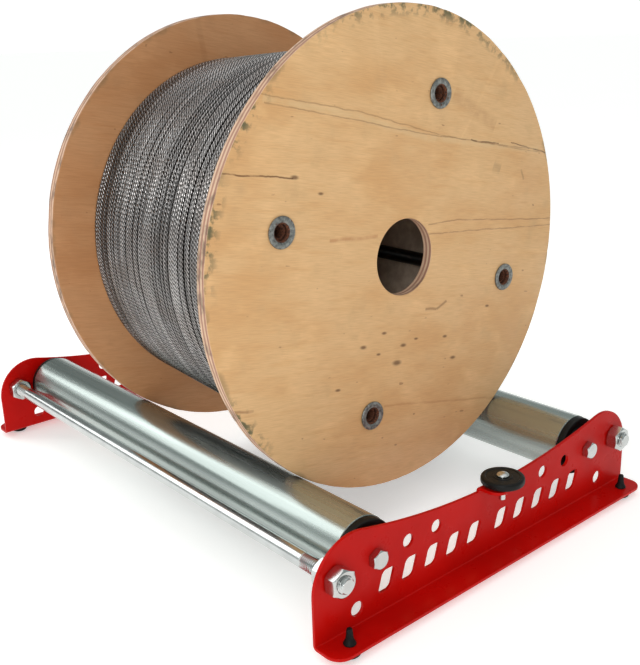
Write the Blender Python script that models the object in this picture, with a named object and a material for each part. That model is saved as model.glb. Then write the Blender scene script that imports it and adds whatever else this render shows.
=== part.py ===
"""Roller stand that feeds wire rope from a wooden reel.

Metres, +Z up. The rollers run along X, the stand's front is at -Y, and the origin is on the floor
under the middle of the stand. The reel rests between two free rollers and turns about X.
"""
import math

import bmesh
import bpy
from mathutils import Matrix, Vector

MM = 0.001
GAP = 0.3 * MM                      # clearance between pieces that touch
AXES = {"X": Vector((1, 0, 0)), "Y": Vector((0, 1, 0)), "Z": Vector((0, 0, 1))}

# Side plates: folded sheet, each with its foot flange turned outwards
SHEET = 2.5 * MM
BEND_RADIUS = 1.0 * MM              # inside radius of each fold
BEND_STEPS = 4
PLATE_OUTER_X = 247.5 * MM          # outer face of the upright web
PLATE_INNER_X = PLATE_OUTER_X - SHEET
PLATE_HALF_LENGTH = 179 * MM
FLANGE_TOP_Z = 8 * MM
FLANGE_BOTTOM_Z = FLANGE_TOP_Z - SHEET
FLANGE_WIDTH = 22.5 * MM
FLANGE_CORNER = 12 * MM
LOBE_RADIUS = 36 * MM               # rounded upper corner of the plate
LOBE_Z = 43 * MM
ARCH_BOTTOM_Z = 62.3 * MM           # lowest point of the hollow top edge
TAB_HALF_WIDTH = 16.6 * MM          # folded tab that carries the guide wheel
TAB_TOP_Z = 66.5 * MM
TAB_REACH = 18.5 * MM
TAB_CORNER = 10 * MM
CORNER_STEPS = 5

# One line of holes along each plate
HOLE_LINE_Z = 52 * MM
TIE_ROD_Y = 160.5 * MM
ROLLER_Y = 123.1 * MM
SPARE_HOLES_Y = (91.5 * MM, 62.5 * MM)
SPARE_HOLE_RADIUS = 5 * MM
LOWER_HOLE_Y = 141 * MM
LOWER_HOLE_Z = 20 * MM
LOWER_HOLE_RADIUS = 5.4 * MM

# Two groups of leaning slots in each plate
SLOT_GROUPS_Y = (-113 * MM, 11 * MM)
SLOTS_IN_GROUP = 5
SLOT_PITCH = 23 * MM
SLOT_WIDTH = 12 * MM
SLOT_HEIGHT = 16 * MM
SLOT_Z = 30.5 * MM
SLOT_LEAN = 5 * MM                  # how far the slot's top stands ahead of its bottom
SLOT_CORNER = 3.5 * MM
SLOT_CORNER_STEPS = 3

# M12 tie rods with a nut on each side of each plate
TIE_ROD_RADIUS = 6 * MM
TIE_ROD_HALF_LENGTH = 261 * MM
TIE_NUT_FLATS = 19 * MM
TIE_NUT_HEIGHT = 10 * MM

# Rollers: steel tube on two bearings that sit on a fixed axle
ROLLER_RADIUS = 25 * MM
ROLLER_WALL = 1.6 * MM
ROLLER_HALF_LENGTH = 233 * MM
AXLE_RADIUS = 6 * MM
AXLE_TAPPING_DEPTH = 24 * MM
ROLLER_BOLT_RADIUS = 4 * MM         # M8
ROLLER_BOLT_FLATS = 13 * MM
ROLLER_BOLT_HEAD = 5.5 * MM
ROLLER_BOLT_LENGTH = 22 * MM
CAP_FLANGE = 6 * MM                 # part of the end cap outside the tube
CAP_SLEEVE = 16 * MM                # part of the end cap inside the tube
CAP_EDGE_RADIUS = 24.4 * MM
BEARING_OUTER_RADIUS = 16 * MM
BEARING_WIDTH = 9 * MM
BEARING_RECESS = 2 * MM
BEARING_RING = 3 * MM
AXLE_WINDOW_RADIUS = 8 * MM

# Guide wheels on the folded tabs
WHEEL_X = 256.3 * MM
WHEEL_RADIUS = 16.5 * MM
WHEEL_BOTTOM_Z = 67.7 * MM
WHEEL_WIDTH = 5.7 * MM
WHEEL_EDGE = 1.6 * MM
WHEEL_BORE_RADIUS = 2.9 * MM
WHEEL_SCREW_RADIUS = 2.5 * MM       # M5
WHEEL_SCREW_HEAD_RADIUS = 4.75 * MM
WHEEL_SCREW_HEAD = 2.3 * MM
WHEEL_SCREW_BOTTOM_Z = 54 * MM
WHEEL_NUT_FLATS = 8 * MM
WHEEL_NUT_HEIGHT = 4.4 * MM
WASHER_RADIUS = 5 * MM
WASHER_THICKNESS = 0.6 * MM

# Rubber push-in feet
FOOT_Y = 159.5 * MM
FOOT_X = 259.6 * MM
FOOT_HOLE_RADIUS = 3.4 * MM
FOOT_PAD_RADIUS = 7.5 * MM
FOOT_TOP_Z = 20 * MM

# Wooden reel that stands on the rollers
REEL_RADIUS = 186.3 * MM
REEL_BOARD = 9.5 * MM               # flange thickness
REEL_NEAR_X = 156.3 * MM            # outer face of the near flange
REEL_FAR_INNER_X = -63 * MM         # inner face of the far flange
REEL_NEAR_INNER_X = REEL_NEAR_X - REEL_BOARD
REEL_FAR_X = REEL_FAR_INNER_X - REEL_BOARD
REEL_BORE_RADIUS = 30 * MM
REEL_Z = HOLE_LINE_Z + math.sqrt((REEL_RADIUS + ROLLER_RADIUS + GAP) ** 2 - ROLLER_Y ** 2)
BARREL_OUTER_RADIUS = 140 * MM
BARREL_WALL = 3.5 * MM
ROPE_PACK_FAR_RADIUS = 152 * MM     # the winding is built up higher at the near board
ROPE_PACK_NEAR_RADIUS = 161 * MM
REEL_BOLT_CIRCLE = 126.6 * MM
REEL_BOLT_ANGLE = math.radians(-17.6)
REEL_BOLT_RADIUS = 6.35 * MM
REEL_BOLT_RECESS = 3 * MM
FERRULE_BORE_RADIUS = 6.8 * MM
FERRULE_SLEEVE_RADIUS = 8 * MM
FERRULE_FLANGE_RADIUS = 11.5 * MM
FERRULE_FLANGE = 1.5 * MM
FERRULE_HOLE_RADIUS = 8.4 * MM

# Facets of round pieces
SMALL_ROUND = 12
MEDIUM_ROUND = 20
TUBE_ROUND = 32
REEL_ROUND = 72
SMOOTH_ANGLE = math.radians(35)

RED_PAINT = ("red_powder_coat", (0.56, 0.010, 0.008), 0.0, 0.35)
ZINC = ("zinc_plated_steel", (0.62, 0.64, 0.64), 1.0, 0.32)
GALVANISED = ("galvanised_tube", (0.56, 0.60, 0.60), 1.0, 0.28)
BEARING_STEEL = ("bearing_steel", (0.50, 0.50, 0.50), 1.0, 0.2)
BLACK_PLASTIC = ("black_plastic", (0.012, 0.012, 0.013), 0.0, 0.45)
BLACK_RUBBER = ("black_rubber", (0.010, 0.010, 0.010), 0.0, 0.7)
PLYWOOD = ("plywood", (0.62, 0.41, 0.20), 0.0, 0.6)
FIBREBOARD = ("fibreboard", (0.20, 0.15, 0.12), 0.0, 0.8)
WIRE = ("steel_wire_rope", (0.36, 0.36, 0.37), 1.0, 0.4)
BLACK_STEEL = ("black_steel", (0.020, 0.020, 0.020), 0.8, 0.5)
GREY_STEEL = ("dull_grey_steel", (0.22, 0.22, 0.23), 0.9, 0.5)


def clear_scene():
    for obj in list(bpy.data.objects):
        bpy.data.objects.remove(obj, do_unlink=True)


def material(finish):
    name, colour, metallic, roughness = finish
    found = bpy.data.materials.get(name)
    if found:
        return found
    made = bpy.data.materials.new(name)
    made.use_nodes = True
    shader = made.node_tree.nodes["Principled BSDF"]
    shader.inputs["Base Color"].default_value = (*colour, 1)
    shader.inputs["Metallic"].default_value = metallic
    shader.inputs["Roughness"].default_value = roughness
    return made


def mesh_of(name, bm):
    """The bmesh as a mesh of its own, smooth except at its sharp edges."""
    bmesh.ops.recalc_face_normals(bm, faces=bm.faces)
    mesh = bpy.data.meshes.new(name)
    bm.to_mesh(mesh)
    bm.free()
    mesh.shade_smooth()
    mesh.set_sharp_from_angle(angle=SMOOTH_ANGLE)
    return mesh


def place(name, mesh, finish, location=(0, 0, 0), turn=0.0, parent=None):
    """A named object of this mesh, turned about Z by `turn`."""
    if not mesh.materials:
        mesh.materials.append(material(finish))
    obj = bpy.data.objects.new(name, mesh)
    bpy.context.scene.collection.objects.link(obj)
    obj.location = location
    obj.rotation_euler.z = turn
    obj.parent = parent
    return obj


def pivot(name, location):
    """An empty on a joint's axis, which carries the pieces that turn about it."""
    empty = bpy.data.objects.new(name, None)
    bpy.context.scene.collection.objects.link(empty)
    empty.location = location
    return empty


def turned(profile, axis, steps):
    """Spins a profile of (along the axis, radius) points round. One that meets the axis is open."""
    bm = bmesh.new()
    across = AXES["Z"] if axis == "X" else AXES["X"]
    points = [bm.verts.new(AXES[axis] * along + across * radius) for along, radius in profile]
    for first, second in zip(points, points[1:]):
        bm.edges.new((first, second))
    if profile[0][1] > 0:
        bm.edges.new((points[-1], points[0]))
    bmesh.ops.spin(bm, geom=bm.verts[:] + bm.edges[:], cent=(0, 0, 0), axis=AXES[axis],
                   angle=math.tau, steps=steps, use_merge=True)
    bmesh.ops.remove_doubles(bm, verts=bm.verts, dist=GAP / 1000)
    return bm


def ring(start, end, inner, outer, axis="X", steps=MEDIUM_ROUND):
    return turned([(start, inner), (start, outer), (end, outer), (end, inner)], axis, steps)


def make_hexagonal(bm, axis, flats, beyond):
    """Moves the points further from the axis than `beyond` onto a hexagon, as on a nut or a head."""
    for vert in bm.verts:
        along = AXES[axis] * vert.co.dot(AXES[axis])
        out = vert.co - along
        if out.length < beyond:
            continue
        angle = math.atan2(out.y, out.z if axis == "X" else out.x)
        from_flat = (angle % math.radians(60)) - math.radians(30)
        vert.co = along + out.normalized() * (flats / 2 / math.cos(from_flat))
    return bm


def hex_nut(name, flats, height, bore, axis):
    bm = ring(0, height, bore, flats, axis, SMALL_ROUND)
    return mesh_of(name, make_hexagonal(bm, axis, flats, bore * 1.1))


def arc(centre_y, centre_z, radius, start, end, steps):
    """(y, z) points round an arc, both ends included; angles from +Y towards +Z."""
    angles = [start + (end - start) * step / steps for step in range(steps + 1)]
    return [(centre_y + radius * math.cos(a), centre_z + radius * math.sin(a)) for a in angles]


def plate_outline():
    """The upright web as (y, z): straight ends, two round lobes, a hollow arch and the tab's root."""
    fold_z = FLANGE_TOP_Z + BEND_RADIUS
    tab_root_z = TAB_TOP_Z - SHEET - BEND_RADIUS
    lobe_y = PLATE_HALF_LENGTH - LOBE_RADIUS
    rise = ARCH_BOTTOM_Z - LOBE_Z
    arch_radius = (lobe_y ** 2 + rise ** 2 - LOBE_RADIUS ** 2) / (2 * (LOBE_RADIUS - rise))
    arch_z = ARCH_BOTTOM_Z + arch_radius
    meet = math.atan2(arch_z - LOBE_Z, lobe_y)              # where the lobe runs into the arch
    tab_angle = math.asin(TAB_HALF_WIDTH / arch_radius)
    lobe = arc(-lobe_y, LOBE_Z, LOBE_RADIUS, math.pi, meet, 8)
    arch = arc(0, arch_z, arch_radius, math.pi + meet, 1.5 * math.pi - tab_angle, 6)
    half = [(-PLATE_HALF_LENGTH, fold_z)] + lobe + arch[1:] + [(-TAB_HALF_WIDTH, tab_root_z)]
    return half + [(-y, z) for y, z in reversed(half)]


def fold_out(bm, face, fold_z, angle, reach, corner):
    """Bends the sheet outwards from one narrow face of the web and rounds its two far corners."""
    bend_x = PLATE_OUTER_X + BEND_RADIUS
    bent = bmesh.ops.spin(bm, geom=[face, *face.edges, *face.verts], cent=(bend_x, 0, fold_z),
                          axis=AXES["Y"], angle=angle, steps=BEND_STEPS)
    grown = bmesh.ops.extrude_face_region(bm, geom=bent["geom_last"])["geom"]
    verts = [item for item in grown if isinstance(item, bmesh.types.BMVert)]
    bmesh.ops.translate(bm, vec=(reach - BEND_RADIUS, 0, 0), verts=verts)
    corners = [edge for edge in bm.edges if set(edge.verts) <= set(verts)
               and abs(edge.verts[0].co.y - edge.verts[1].co.y) < GAP]
    bmesh.ops.bevel(bm, geom=corners, offset=corner, segments=CORNER_STEPS, profile=0.5,
                    affect="EDGES")


def narrow_face(bm, z):
    """The web's own edge face that lies level at this height."""
    return next(face for face in bm.faces if all(abs(v.co.z - z) < MM / 100 for v in face.verts))


def plate_blank(side):
    """The folded sheet with no holes. `side` is 1 for the near plate and -1 for the far one."""
    bm = bmesh.new()
    web = bm.faces.new([bm.verts.new((PLATE_INNER_X, y, z)) for y, z in plate_outline()])
    grown = bmesh.ops.extrude_face_region(bm, geom=[web])["geom"]
    verts = [item for item in grown if isinstance(item, bmesh.types.BMVert)]
    bmesh.ops.translate(bm, vec=(SHEET, 0, 0), verts=verts)
    bmesh.ops.recalc_face_normals(bm, faces=bm.faces)
    bottom_z = FLANGE_TOP_Z + BEND_RADIUS
    top_z = TAB_TOP_Z - SHEET - BEND_RADIUS
    quarter = math.pi / 2
    fold_out(bm, narrow_face(bm, bottom_z), bottom_z, -quarter, FLANGE_WIDTH, FLANGE_CORNER)
    fold_out(bm, narrow_face(bm, top_z), top_z, quarter, TAB_REACH, TAB_CORNER)
    bmesh.ops.scale(bm, vec=(side, 1, 1), verts=bm.verts)
    return mesh_of("side_plate_blank", bm)


def slot_outline(middle_y):
    """A leaning slot with rounded corners, as (y, z) points."""
    half_width = SLOT_WIDTH / 2 - SLOT_CORNER
    half_height = SLOT_HEIGHT / 2 - SLOT_CORNER
    signs = ((1, 1), (-1, 1), (-1, -1), (1, -1))
    points = []
    for quarter, (right, up) in enumerate(signs):
        start = quarter * math.pi / 2
        points += arc(right * half_width, up * half_height, SLOT_CORNER, start,
                      start + math.pi / 2, SLOT_CORNER_STEPS)
    return [(middle_y + y + z * SLOT_LEAN / SLOT_HEIGHT, SLOT_Z + z) for y, z in points]


def plate_cutter(side):
    """Every hole of one side plate, as separate solids in one mesh."""
    bm = bmesh.new()
    through = SHEET * 3
    web_x = side * (PLATE_OUTER_X - SHEET / 2)
    round_holes = [(LOWER_HOLE_Y, LOWER_HOLE_Z, LOWER_HOLE_RADIUS),
                   (TIE_ROD_Y, HOLE_LINE_Z, TIE_ROD_RADIUS + 0.6 * MM),
                   (ROLLER_Y, HOLE_LINE_Z, ROLLER_BOLT_RADIUS + 0.6 * MM)]
    round_holes += [(y, HOLE_LINE_Z, SPARE_HOLE_RADIUS) for y in SPARE_HOLES_Y]
    along_x = Matrix.Rotation(math.pi / 2, 4, "Y")
    for y, z, radius in round_holes:
        for end in (-1, 1):
            bmesh.ops.create_cone(bm, segments=MEDIUM_ROUND, radius1=radius, radius2=radius,
                                  depth=through, cap_ends=True,
                                  matrix=Matrix.Translation((web_x, end * y, z)) @ along_x)
    level_holes = [(FOOT_X, end * FOOT_Y, FLANGE_TOP_Z, FOOT_HOLE_RADIUS) for end in (-1, 1)]
    level_holes.append((WHEEL_X, 0, TAB_TOP_Z, WHEEL_SCREW_RADIUS + 0.5 * MM))
    for x, y, top_z, radius in level_holes:
        bmesh.ops.create_cone(bm, segments=SMALL_ROUND, radius1=radius, radius2=radius,
                              depth=through, cap_ends=True,
                              matrix=Matrix.Translation((side * x, y, top_z - SHEET / 2)))
    for start in SLOT_GROUPS_Y:
        for number in range(SLOTS_IN_GROUP):
            outline = slot_outline(start + number * SLOT_PITCH)
            verts = [bm.verts.new((web_x - through / 2, y, z)) for y, z in outline]
            grown = bmesh.ops.extrude_face_region(bm, geom=[bm.faces.new(verts)])["geom"]
            moved = [item for item in grown if isinstance(item, bmesh.types.BMVert)]
            bmesh.ops.translate(bm, vec=(through, 0, 0), verts=moved)
    return mesh_of("plate_holes", bm)


def cut(obj, cutter_mesh, location=(0, 0, 0)):
    """Takes the cutter's solids out of the object."""
    cutter = bpy.data.objects.new(obj.name + "_cutter", cutter_mesh)
    bpy.context.scene.collection.objects.link(cutter)
    cutter.location = location
    cutter.hide_render = True
    cutter.display_type = "WIRE"
    modifier = obj.modifiers.new("holes", "BOOLEAN")
    modifier.operation = "DIFFERENCE"
    modifier.object = cutter


def tie_rod():
    radius = TIE_ROD_RADIUS
    end = TIE_ROD_HALF_LENGTH
    chamfer = 1 * MM
    profile = [(-end, 0), (-end, radius - chamfer), (chamfer - end, radius),
               (end - chamfer, radius), (end, radius - chamfer), (end, 0)]
    return mesh_of("tie_rod", turned(profile, "X", MEDIUM_ROUND))


def roller_axle():
    """A bar with a tapped hole in each end for the roller bolts."""
    end = PLATE_INNER_X - GAP
    bore = ROLLER_BOLT_RADIUS + GAP
    floor = end - AXLE_TAPPING_DEPTH
    profile = [(-floor, 0), (-floor, bore), (-end, bore), (-end, AXLE_RADIUS),
               (end, AXLE_RADIUS), (end, bore), (floor, bore), (floor, 0)]
    return mesh_of("roller_axle", turned(profile, "X", MEDIUM_ROUND))


def roller_bolt():
    """Hexagon bolt along X with its head at +X and the head's seat at x = 0."""
    corner = ROLLER_BOLT_FLATS / 2
    profile = [(-ROLLER_BOLT_LENGTH, 0), (-ROLLER_BOLT_LENGTH, ROLLER_BOLT_RADIUS),
               (0, ROLLER_BOLT_RADIUS), (0, corner), (ROLLER_BOLT_HEAD, corner),
               (ROLLER_BOLT_HEAD, 0)]
    bm = turned(profile, "X", SMALL_ROUND)
    return mesh_of("roller_bolt", make_hexagonal(bm, "X", ROLLER_BOLT_FLATS, corner * 0.9))


def end_cap():
    """Bearing housing at a roller's +X end, measured from the tube's end at x = 0."""
    seat = BEARING_OUTER_RADIUS + GAP
    floor = CAP_FLANGE - BEARING_RECESS - BEARING_WIDTH - 2 * GAP
    profile = [(GAP, CAP_EDGE_RADIUS), (CAP_FLANGE - MM, CAP_EDGE_RADIUS),
               (CAP_FLANGE, CAP_EDGE_RADIUS - MM), (CAP_FLANGE, seat), (floor, seat),
               (floor, AXLE_WINDOW_RADIUS), (-CAP_SLEEVE, AXLE_WINDOW_RADIUS),
               (-CAP_SLEEVE, ROLLER_RADIUS - ROLLER_WALL - GAP),
               (GAP, ROLLER_RADIUS - ROLLER_WALL - GAP)]
    return mesh_of("end_cap", turned(profile, "X", MEDIUM_ROUND))


def foot():
    """Push-in rubber foot: a domed pad, a neck through the flange and a barbed tip."""
    neck = FOOT_HOLE_RADIUS - 0.4 * MM
    barb = FLANGE_TOP_Z + GAP
    profile = [(0, 0), (0, FOOT_PAD_RADIUS - 2 * MM), (1.5 * MM, FOOT_PAD_RADIUS),
               (3 * MM, FOOT_PAD_RADIUS), (FLANGE_BOTTOM_Z - GAP, FOOT_PAD_RADIUS - MM),
               (FLANGE_BOTTOM_Z - GAP, neck), (barb, neck), (barb, 4.5 * MM),
               (barb + 3.2 * MM, 3.1 * MM), (FOOT_TOP_Z - 0.8 * MM, 2.2 * MM),
               (FOOT_TOP_Z, 1.5 * MM), (FOOT_TOP_Z, 0)]
    return mesh_of("foot", turned(profile, "Z", SMALL_ROUND))


def guide_wheel():
    """Solid wheel with a rounded tread, its bore along Z and its underside at z = 0."""
    edge = WHEEL_EDGE
    rim = WHEEL_RADIUS - edge
    lower = [(edge - edge * math.cos(a), rim + edge * math.sin(a)) for a in quarter_steps()]
    upper = [(WHEEL_WIDTH - along, radius) for along, radius in reversed(lower)]
    profile = [(0, WHEEL_BORE_RADIUS)] + lower + upper + [(WHEEL_WIDTH, WHEEL_BORE_RADIUS)]
    return mesh_of("guide_wheel", turned(profile, "Z", MEDIUM_ROUND))


def quarter_steps(steps=3):
    return [math.pi / 2 * step / steps for step in range(steps + 1)]


def wheel_screw():
    """Domed screw along Z with its shank's lower end at z = 0."""
    seat = WHEEL_BOTTOM_Z + WHEEL_WIDTH + GAP - WHEEL_SCREW_BOTTOM_Z
    dome = [(seat + 0.5 * MM + (WHEEL_SCREW_HEAD - 0.5 * MM) * math.sin(a),
             WHEEL_SCREW_HEAD_RADIUS * math.cos(a)) for a in quarter_steps(4)]
    dome[-1] = (dome[-1][0], 0)
    profile = [(0, 0), (0, WHEEL_SCREW_RADIUS), (seat, WHEEL_SCREW_RADIUS),
               (seat, WHEEL_SCREW_HEAD_RADIUS)] + dome
    return mesh_of("wheel_screw", turned(profile, "Z", SMALL_ROUND))


def reel_board(name):
    """Round flange board with its centre bore, from x = 0 to its thickness."""
    return mesh_of(name, ring(0, REEL_BOARD, REEL_BORE_RADIUS, REEL_RADIUS, "X", REEL_ROUND))


def reel_bolt_places():
    """(y, z) of each reel tie bolt, measured from the reel's axis."""
    angles = [REEL_BOLT_ANGLE + quarter * math.pi / 2 for quarter in range(4)]
    return [(REEL_BOLT_CIRCLE * math.cos(a), REEL_BOLT_CIRCLE * math.sin(a)) for a in angles]


def board_cutter():
    bm = bmesh.new()
    along_x = Matrix.Rotation(math.pi / 2, 4, "Y")
    for y, z in reel_bolt_places():
        bmesh.ops.create_cone(bm, segments=MEDIUM_ROUND, radius1=FERRULE_HOLE_RADIUS,
                              radius2=FERRULE_HOLE_RADIUS, depth=REEL_BOARD * 3, cap_ends=True,
                              matrix=Matrix.Translation((REEL_BOARD / 2, y, z)) @ along_x)
    return mesh_of("bolt_holes", bm)


def ferrule():
    """Flanged steel bush with its flange at +X and the flange's seat at x = 0."""
    profile = [(-REEL_BOARD, FERRULE_BORE_RADIUS), (-REEL_BOARD, FERRULE_SLEEVE_RADIUS),
               (0, FERRULE_SLEEVE_RADIUS), (0, FERRULE_FLANGE_RADIUS),
               (FERRULE_FLANGE, FERRULE_FLANGE_RADIUS - 0.5 * MM),
               (FERRULE_FLANGE, FERRULE_BORE_RADIUS)]
    return mesh_of("ferrule", turned(profile, "X", SMALL_ROUND))


def reel_bolt():
    start = REEL_FAR_X + REEL_BOLT_RECESS - GAP
    end = REEL_NEAR_X - REEL_BOLT_RECESS + GAP
    profile = [(start, 0), (start, REEL_BOLT_RADIUS), (end, REEL_BOLT_RADIUS), (end, 0)]
    return mesh_of("reel_bolt", turned(profile, "X", SMALL_ROUND))


def build_plates():
    for name, side in (("near_side_plate", 1), ("far_side_plate", -1)):
        plate = place(name, plate_blank(side), RED_PAINT)
        cut(plate, plate_cutter(side))


def build_tie_rods():
    rod = tie_rod()
    nut = hex_nut("tie_nut", TIE_NUT_FLATS, TIE_NUT_HEIGHT, TIE_ROD_RADIUS + 0.45 * MM, "X")
    outer_x = PLATE_OUTER_X + GAP
    inner_x = PLATE_INNER_X - GAP - TIE_NUT_HEIGHT
    for row, y in (("front", -TIE_ROD_Y), ("rear", TIE_ROD_Y)):
        place(row + "_tie_rod", rod, ZINC, (0, y, HOLE_LINE_Z))
        for end, turn, sign in (("near", 0, 1), ("far", math.pi, -1)):
            place(f"{row}_{end}_outer_nut", nut, ZINC, (sign * outer_x, y, HOLE_LINE_Z), turn)
            place(f"{row}_{end}_inner_nut", nut, ZINC, (sign * inner_x, y, HOLE_LINE_Z), turn)


def build_rollers():
    tube = mesh_of("roller_tube", ring(-ROLLER_HALF_LENGTH, ROLLER_HALF_LENGTH,
                                       ROLLER_RADIUS - ROLLER_WALL, ROLLER_RADIUS, "X",
                                       TUBE_ROUND))
    bearing_end = CAP_FLANGE - BEARING_RECESS
    bearing_start = bearing_end - BEARING_WIDTH
    split = AXLE_RADIUS + GAP + BEARING_RING
    outer_ring = mesh_of("outer_ring", ring(bearing_start, bearing_end, split + BEARING_RING,
                                            BEARING_OUTER_RADIUS))
    inner_ring = mesh_of("inner_ring", ring(bearing_start, bearing_end,
                                            AXLE_RADIUS + 0.2 * MM, split))
    cap = end_cap()
    axle = roller_axle()
    bolt = roller_bolt()
    for row, y in (("front", -ROLLER_Y), ("rear", ROLLER_Y)):
        centre = Vector((0, y, HOLE_LINE_Z))
        spin = pivot(row + "_roller_axis", centre)
        place(row + "_roller_tube", tube, GALVANISED, parent=spin)
        place(row + "_roller_axle", axle, ZINC, centre)
        for end, turn, sign in (("near", 0, 1), ("far", math.pi, -1)):
            tube_end = Vector((sign * ROLLER_HALF_LENGTH, 0, 0))
            bolt_seat = Vector((sign * (PLATE_OUTER_X + GAP), 0, 0))
            place(f"{row}_{end}_end_cap", cap, BLACK_PLASTIC, tube_end, turn, spin)
            place(f"{row}_{end}_bearing_outer", outer_ring, BEARING_STEEL, tube_end, turn, spin)
            place(f"{row}_{end}_bearing_inner", inner_ring, BEARING_STEEL, centre + tube_end, turn)
            place(f"{row}_{end}_roller_bolt", bolt, ZINC, centre + bolt_seat, turn)


def build_guide_wheels():
    wheel = guide_wheel()
    screw = wheel_screw()
    nut = hex_nut("wheel_nut", WHEEL_NUT_FLATS, WHEEL_NUT_HEIGHT, WHEEL_SCREW_RADIUS + GAP, "Z")
    washer = mesh_of("washer", ring(0, WASHER_THICKNESS, WHEEL_SCREW_RADIUS + GAP,
                                    WASHER_RADIUS, "Z", SMALL_ROUND))
    nut_z = TAB_TOP_Z - SHEET - GAP - WHEEL_NUT_HEIGHT
    for end, sign in (("near", 1), ("far", -1)):
        x = sign * WHEEL_X
        spin = pivot(end + "_guide_wheel_axis", (x, 0, WHEEL_BOTTOM_Z))
        place(end + "_guide_wheel", wheel, BLACK_PLASTIC, parent=spin)
        place(end + "_wheel_screw", screw, ZINC, (x, 0, WHEEL_SCREW_BOTTOM_Z))
        place(end + "_wheel_washer", washer, ZINC, (x, 0, TAB_TOP_Z + GAP))
        place(end + "_wheel_nut", nut, ZINC, (x, 0, nut_z))


def build_feet():
    mesh = foot()
    for end, x in (("near", FOOT_X), ("far", -FOOT_X)):
        for row, y in (("front", -FOOT_Y), ("rear", FOOT_Y)):
            place(f"{row}_{end}_foot", mesh, BLACK_RUBBER, (x, y, 0))


def build_reel():
    spin = pivot("reel_axis", (0, 0, REEL_Z))
    holes = board_cutter()
    for name, x in (("near_reel_flange", REEL_NEAR_INNER_X), ("far_reel_flange", REEL_FAR_X)):
        board = place(name, reel_board(name), PLYWOOD, (x, 0, 0), parent=spin)
        cut(board, holes, (x, 0, REEL_Z))
    start = REEL_FAR_INNER_X + GAP
    end = REEL_NEAR_INNER_X - GAP
    barrel = ring(start, end, BARREL_OUTER_RADIUS - BARREL_WALL, BARREL_OUTER_RADIUS, "X",
                  REEL_ROUND)
    place("reel_barrel", mesh_of("barrel", barrel), FIBREBOARD, parent=spin)
    inner = BARREL_OUTER_RADIUS + GAP
    pack = turned([(start, inner), (start, ROPE_PACK_FAR_RADIUS), (end, ROPE_PACK_NEAR_RADIUS),
                   (end, inner)], "X", REEL_ROUND)
    place("wire_rope_pack", mesh_of("rope_pack", pack), WIRE, parent=spin)
    bolt = reel_bolt()
    bush = ferrule()
    for number, (y, z) in enumerate(reel_bolt_places(), 1):
        place(f"reel_bolt_{number}", bolt, BLACK_STEEL, (0, y, z), parent=spin)
        place(f"near_reel_ferrule_{number}", bush, GREY_STEEL, (REEL_NEAR_X + GAP, y, z),
              parent=spin)
        place(f"far_reel_ferrule_{number}", bush, GREY_STEEL, (REEL_FAR_X - GAP, y, z),
              math.pi, spin)


def main():
    clear_scene()
    build_plates()
    build_tie_rods()
    build_rollers()
    build_guide_wheels()
    build_feet()
    build_reel()


main()
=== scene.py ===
"""Finished pieces of a roller stand that feeds wire rope from a wooden reel.

Metres, +Z up. The rollers run along X, the near side plate is at +X and the stand's front is at -Y.
"""
import math

import bmesh
import bpy
from mathutils import Matrix, Vector, noise


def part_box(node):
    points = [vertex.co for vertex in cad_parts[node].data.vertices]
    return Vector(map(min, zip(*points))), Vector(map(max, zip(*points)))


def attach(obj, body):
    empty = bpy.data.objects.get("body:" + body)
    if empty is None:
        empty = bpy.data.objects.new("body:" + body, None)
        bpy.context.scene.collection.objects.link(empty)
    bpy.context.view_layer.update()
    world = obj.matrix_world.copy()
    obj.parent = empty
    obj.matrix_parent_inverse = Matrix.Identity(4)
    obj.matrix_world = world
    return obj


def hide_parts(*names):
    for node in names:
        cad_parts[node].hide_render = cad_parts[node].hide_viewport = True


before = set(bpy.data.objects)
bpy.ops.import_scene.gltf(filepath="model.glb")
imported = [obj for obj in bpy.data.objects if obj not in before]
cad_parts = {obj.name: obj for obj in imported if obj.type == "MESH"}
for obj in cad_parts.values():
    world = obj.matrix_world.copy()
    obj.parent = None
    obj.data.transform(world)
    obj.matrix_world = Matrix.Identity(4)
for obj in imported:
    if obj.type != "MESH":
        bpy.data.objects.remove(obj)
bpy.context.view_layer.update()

bl_info = {
    "name": "Reel Roller Stand",
    "version": (1, 0, 0),
    "blender": (4, 5, 0),
    "location": "View3D > Sidebar > Roller Stand",
    "description": "Builds the finished pieces of a roller stand and its reel of wire rope",
    "category": "Object",
}

MM = 0.001
AXES = {"X": Vector((1, 0, 0)), "Y": Vector((0, 1, 0)), "Z": Vector((0, 0, 1))}
ROWS = ("front", "rear")
ENDS = (("near", 1), ("far", -1))
SMOOTH_ANGLE = math.radians(25)
ON_SIDE = Matrix.Rotation(math.pi / 2, 4, "Y")      # turns an upright piece to lie along X


def linear(hex_colour):
    """An sRGB hex colour as linear RGB."""
    channels = [int(hex_colour[i:i + 2], 16) / 255 for i in (0, 2, 4)]
    return tuple(c / 12.92 if c <= 0.04045 else ((c + 0.055) / 1.055) ** 2.4 for c in channels)


def rgba(colour):
    """A hex or linear colour with its alpha."""
    return (*(linear(colour) if isinstance(colour, str) else colour), 1)


def middle(node):
    """The centre of a node's box."""
    low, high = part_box(node)
    return (low + high) / 2


def across(node, axis):
    """The size of a node's box along one axis."""
    low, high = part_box(node)
    return getattr(high, axis) - getattr(low, axis)


REEL_CENTRE = middle("near_reel_flange")
REEL_RADIUS = across("near_reel_flange", "z") / 2
BOARD = across("near_reel_flange", "x")
NEAR_FACE_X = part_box("near_reel_flange")[1].x
FAR_FACE_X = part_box("far_reel_flange")[0].x
PACK_START_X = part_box("wire_rope_pack")[0].x
PACK_END_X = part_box("wire_rope_pack")[1].x
PACK_NEAR_RADIUS = across("wire_rope_pack", "z") / 2 - 0.4 * MM
PACK_FAR_RADIUS = PACK_NEAR_RADIUS - 11.5 * MM
GRAIN_ANGLE = math.radians(-10)         # the boards' grain falls towards +Y
PLIES = 5


# ---------------------------------------------------------------- settings

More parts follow.
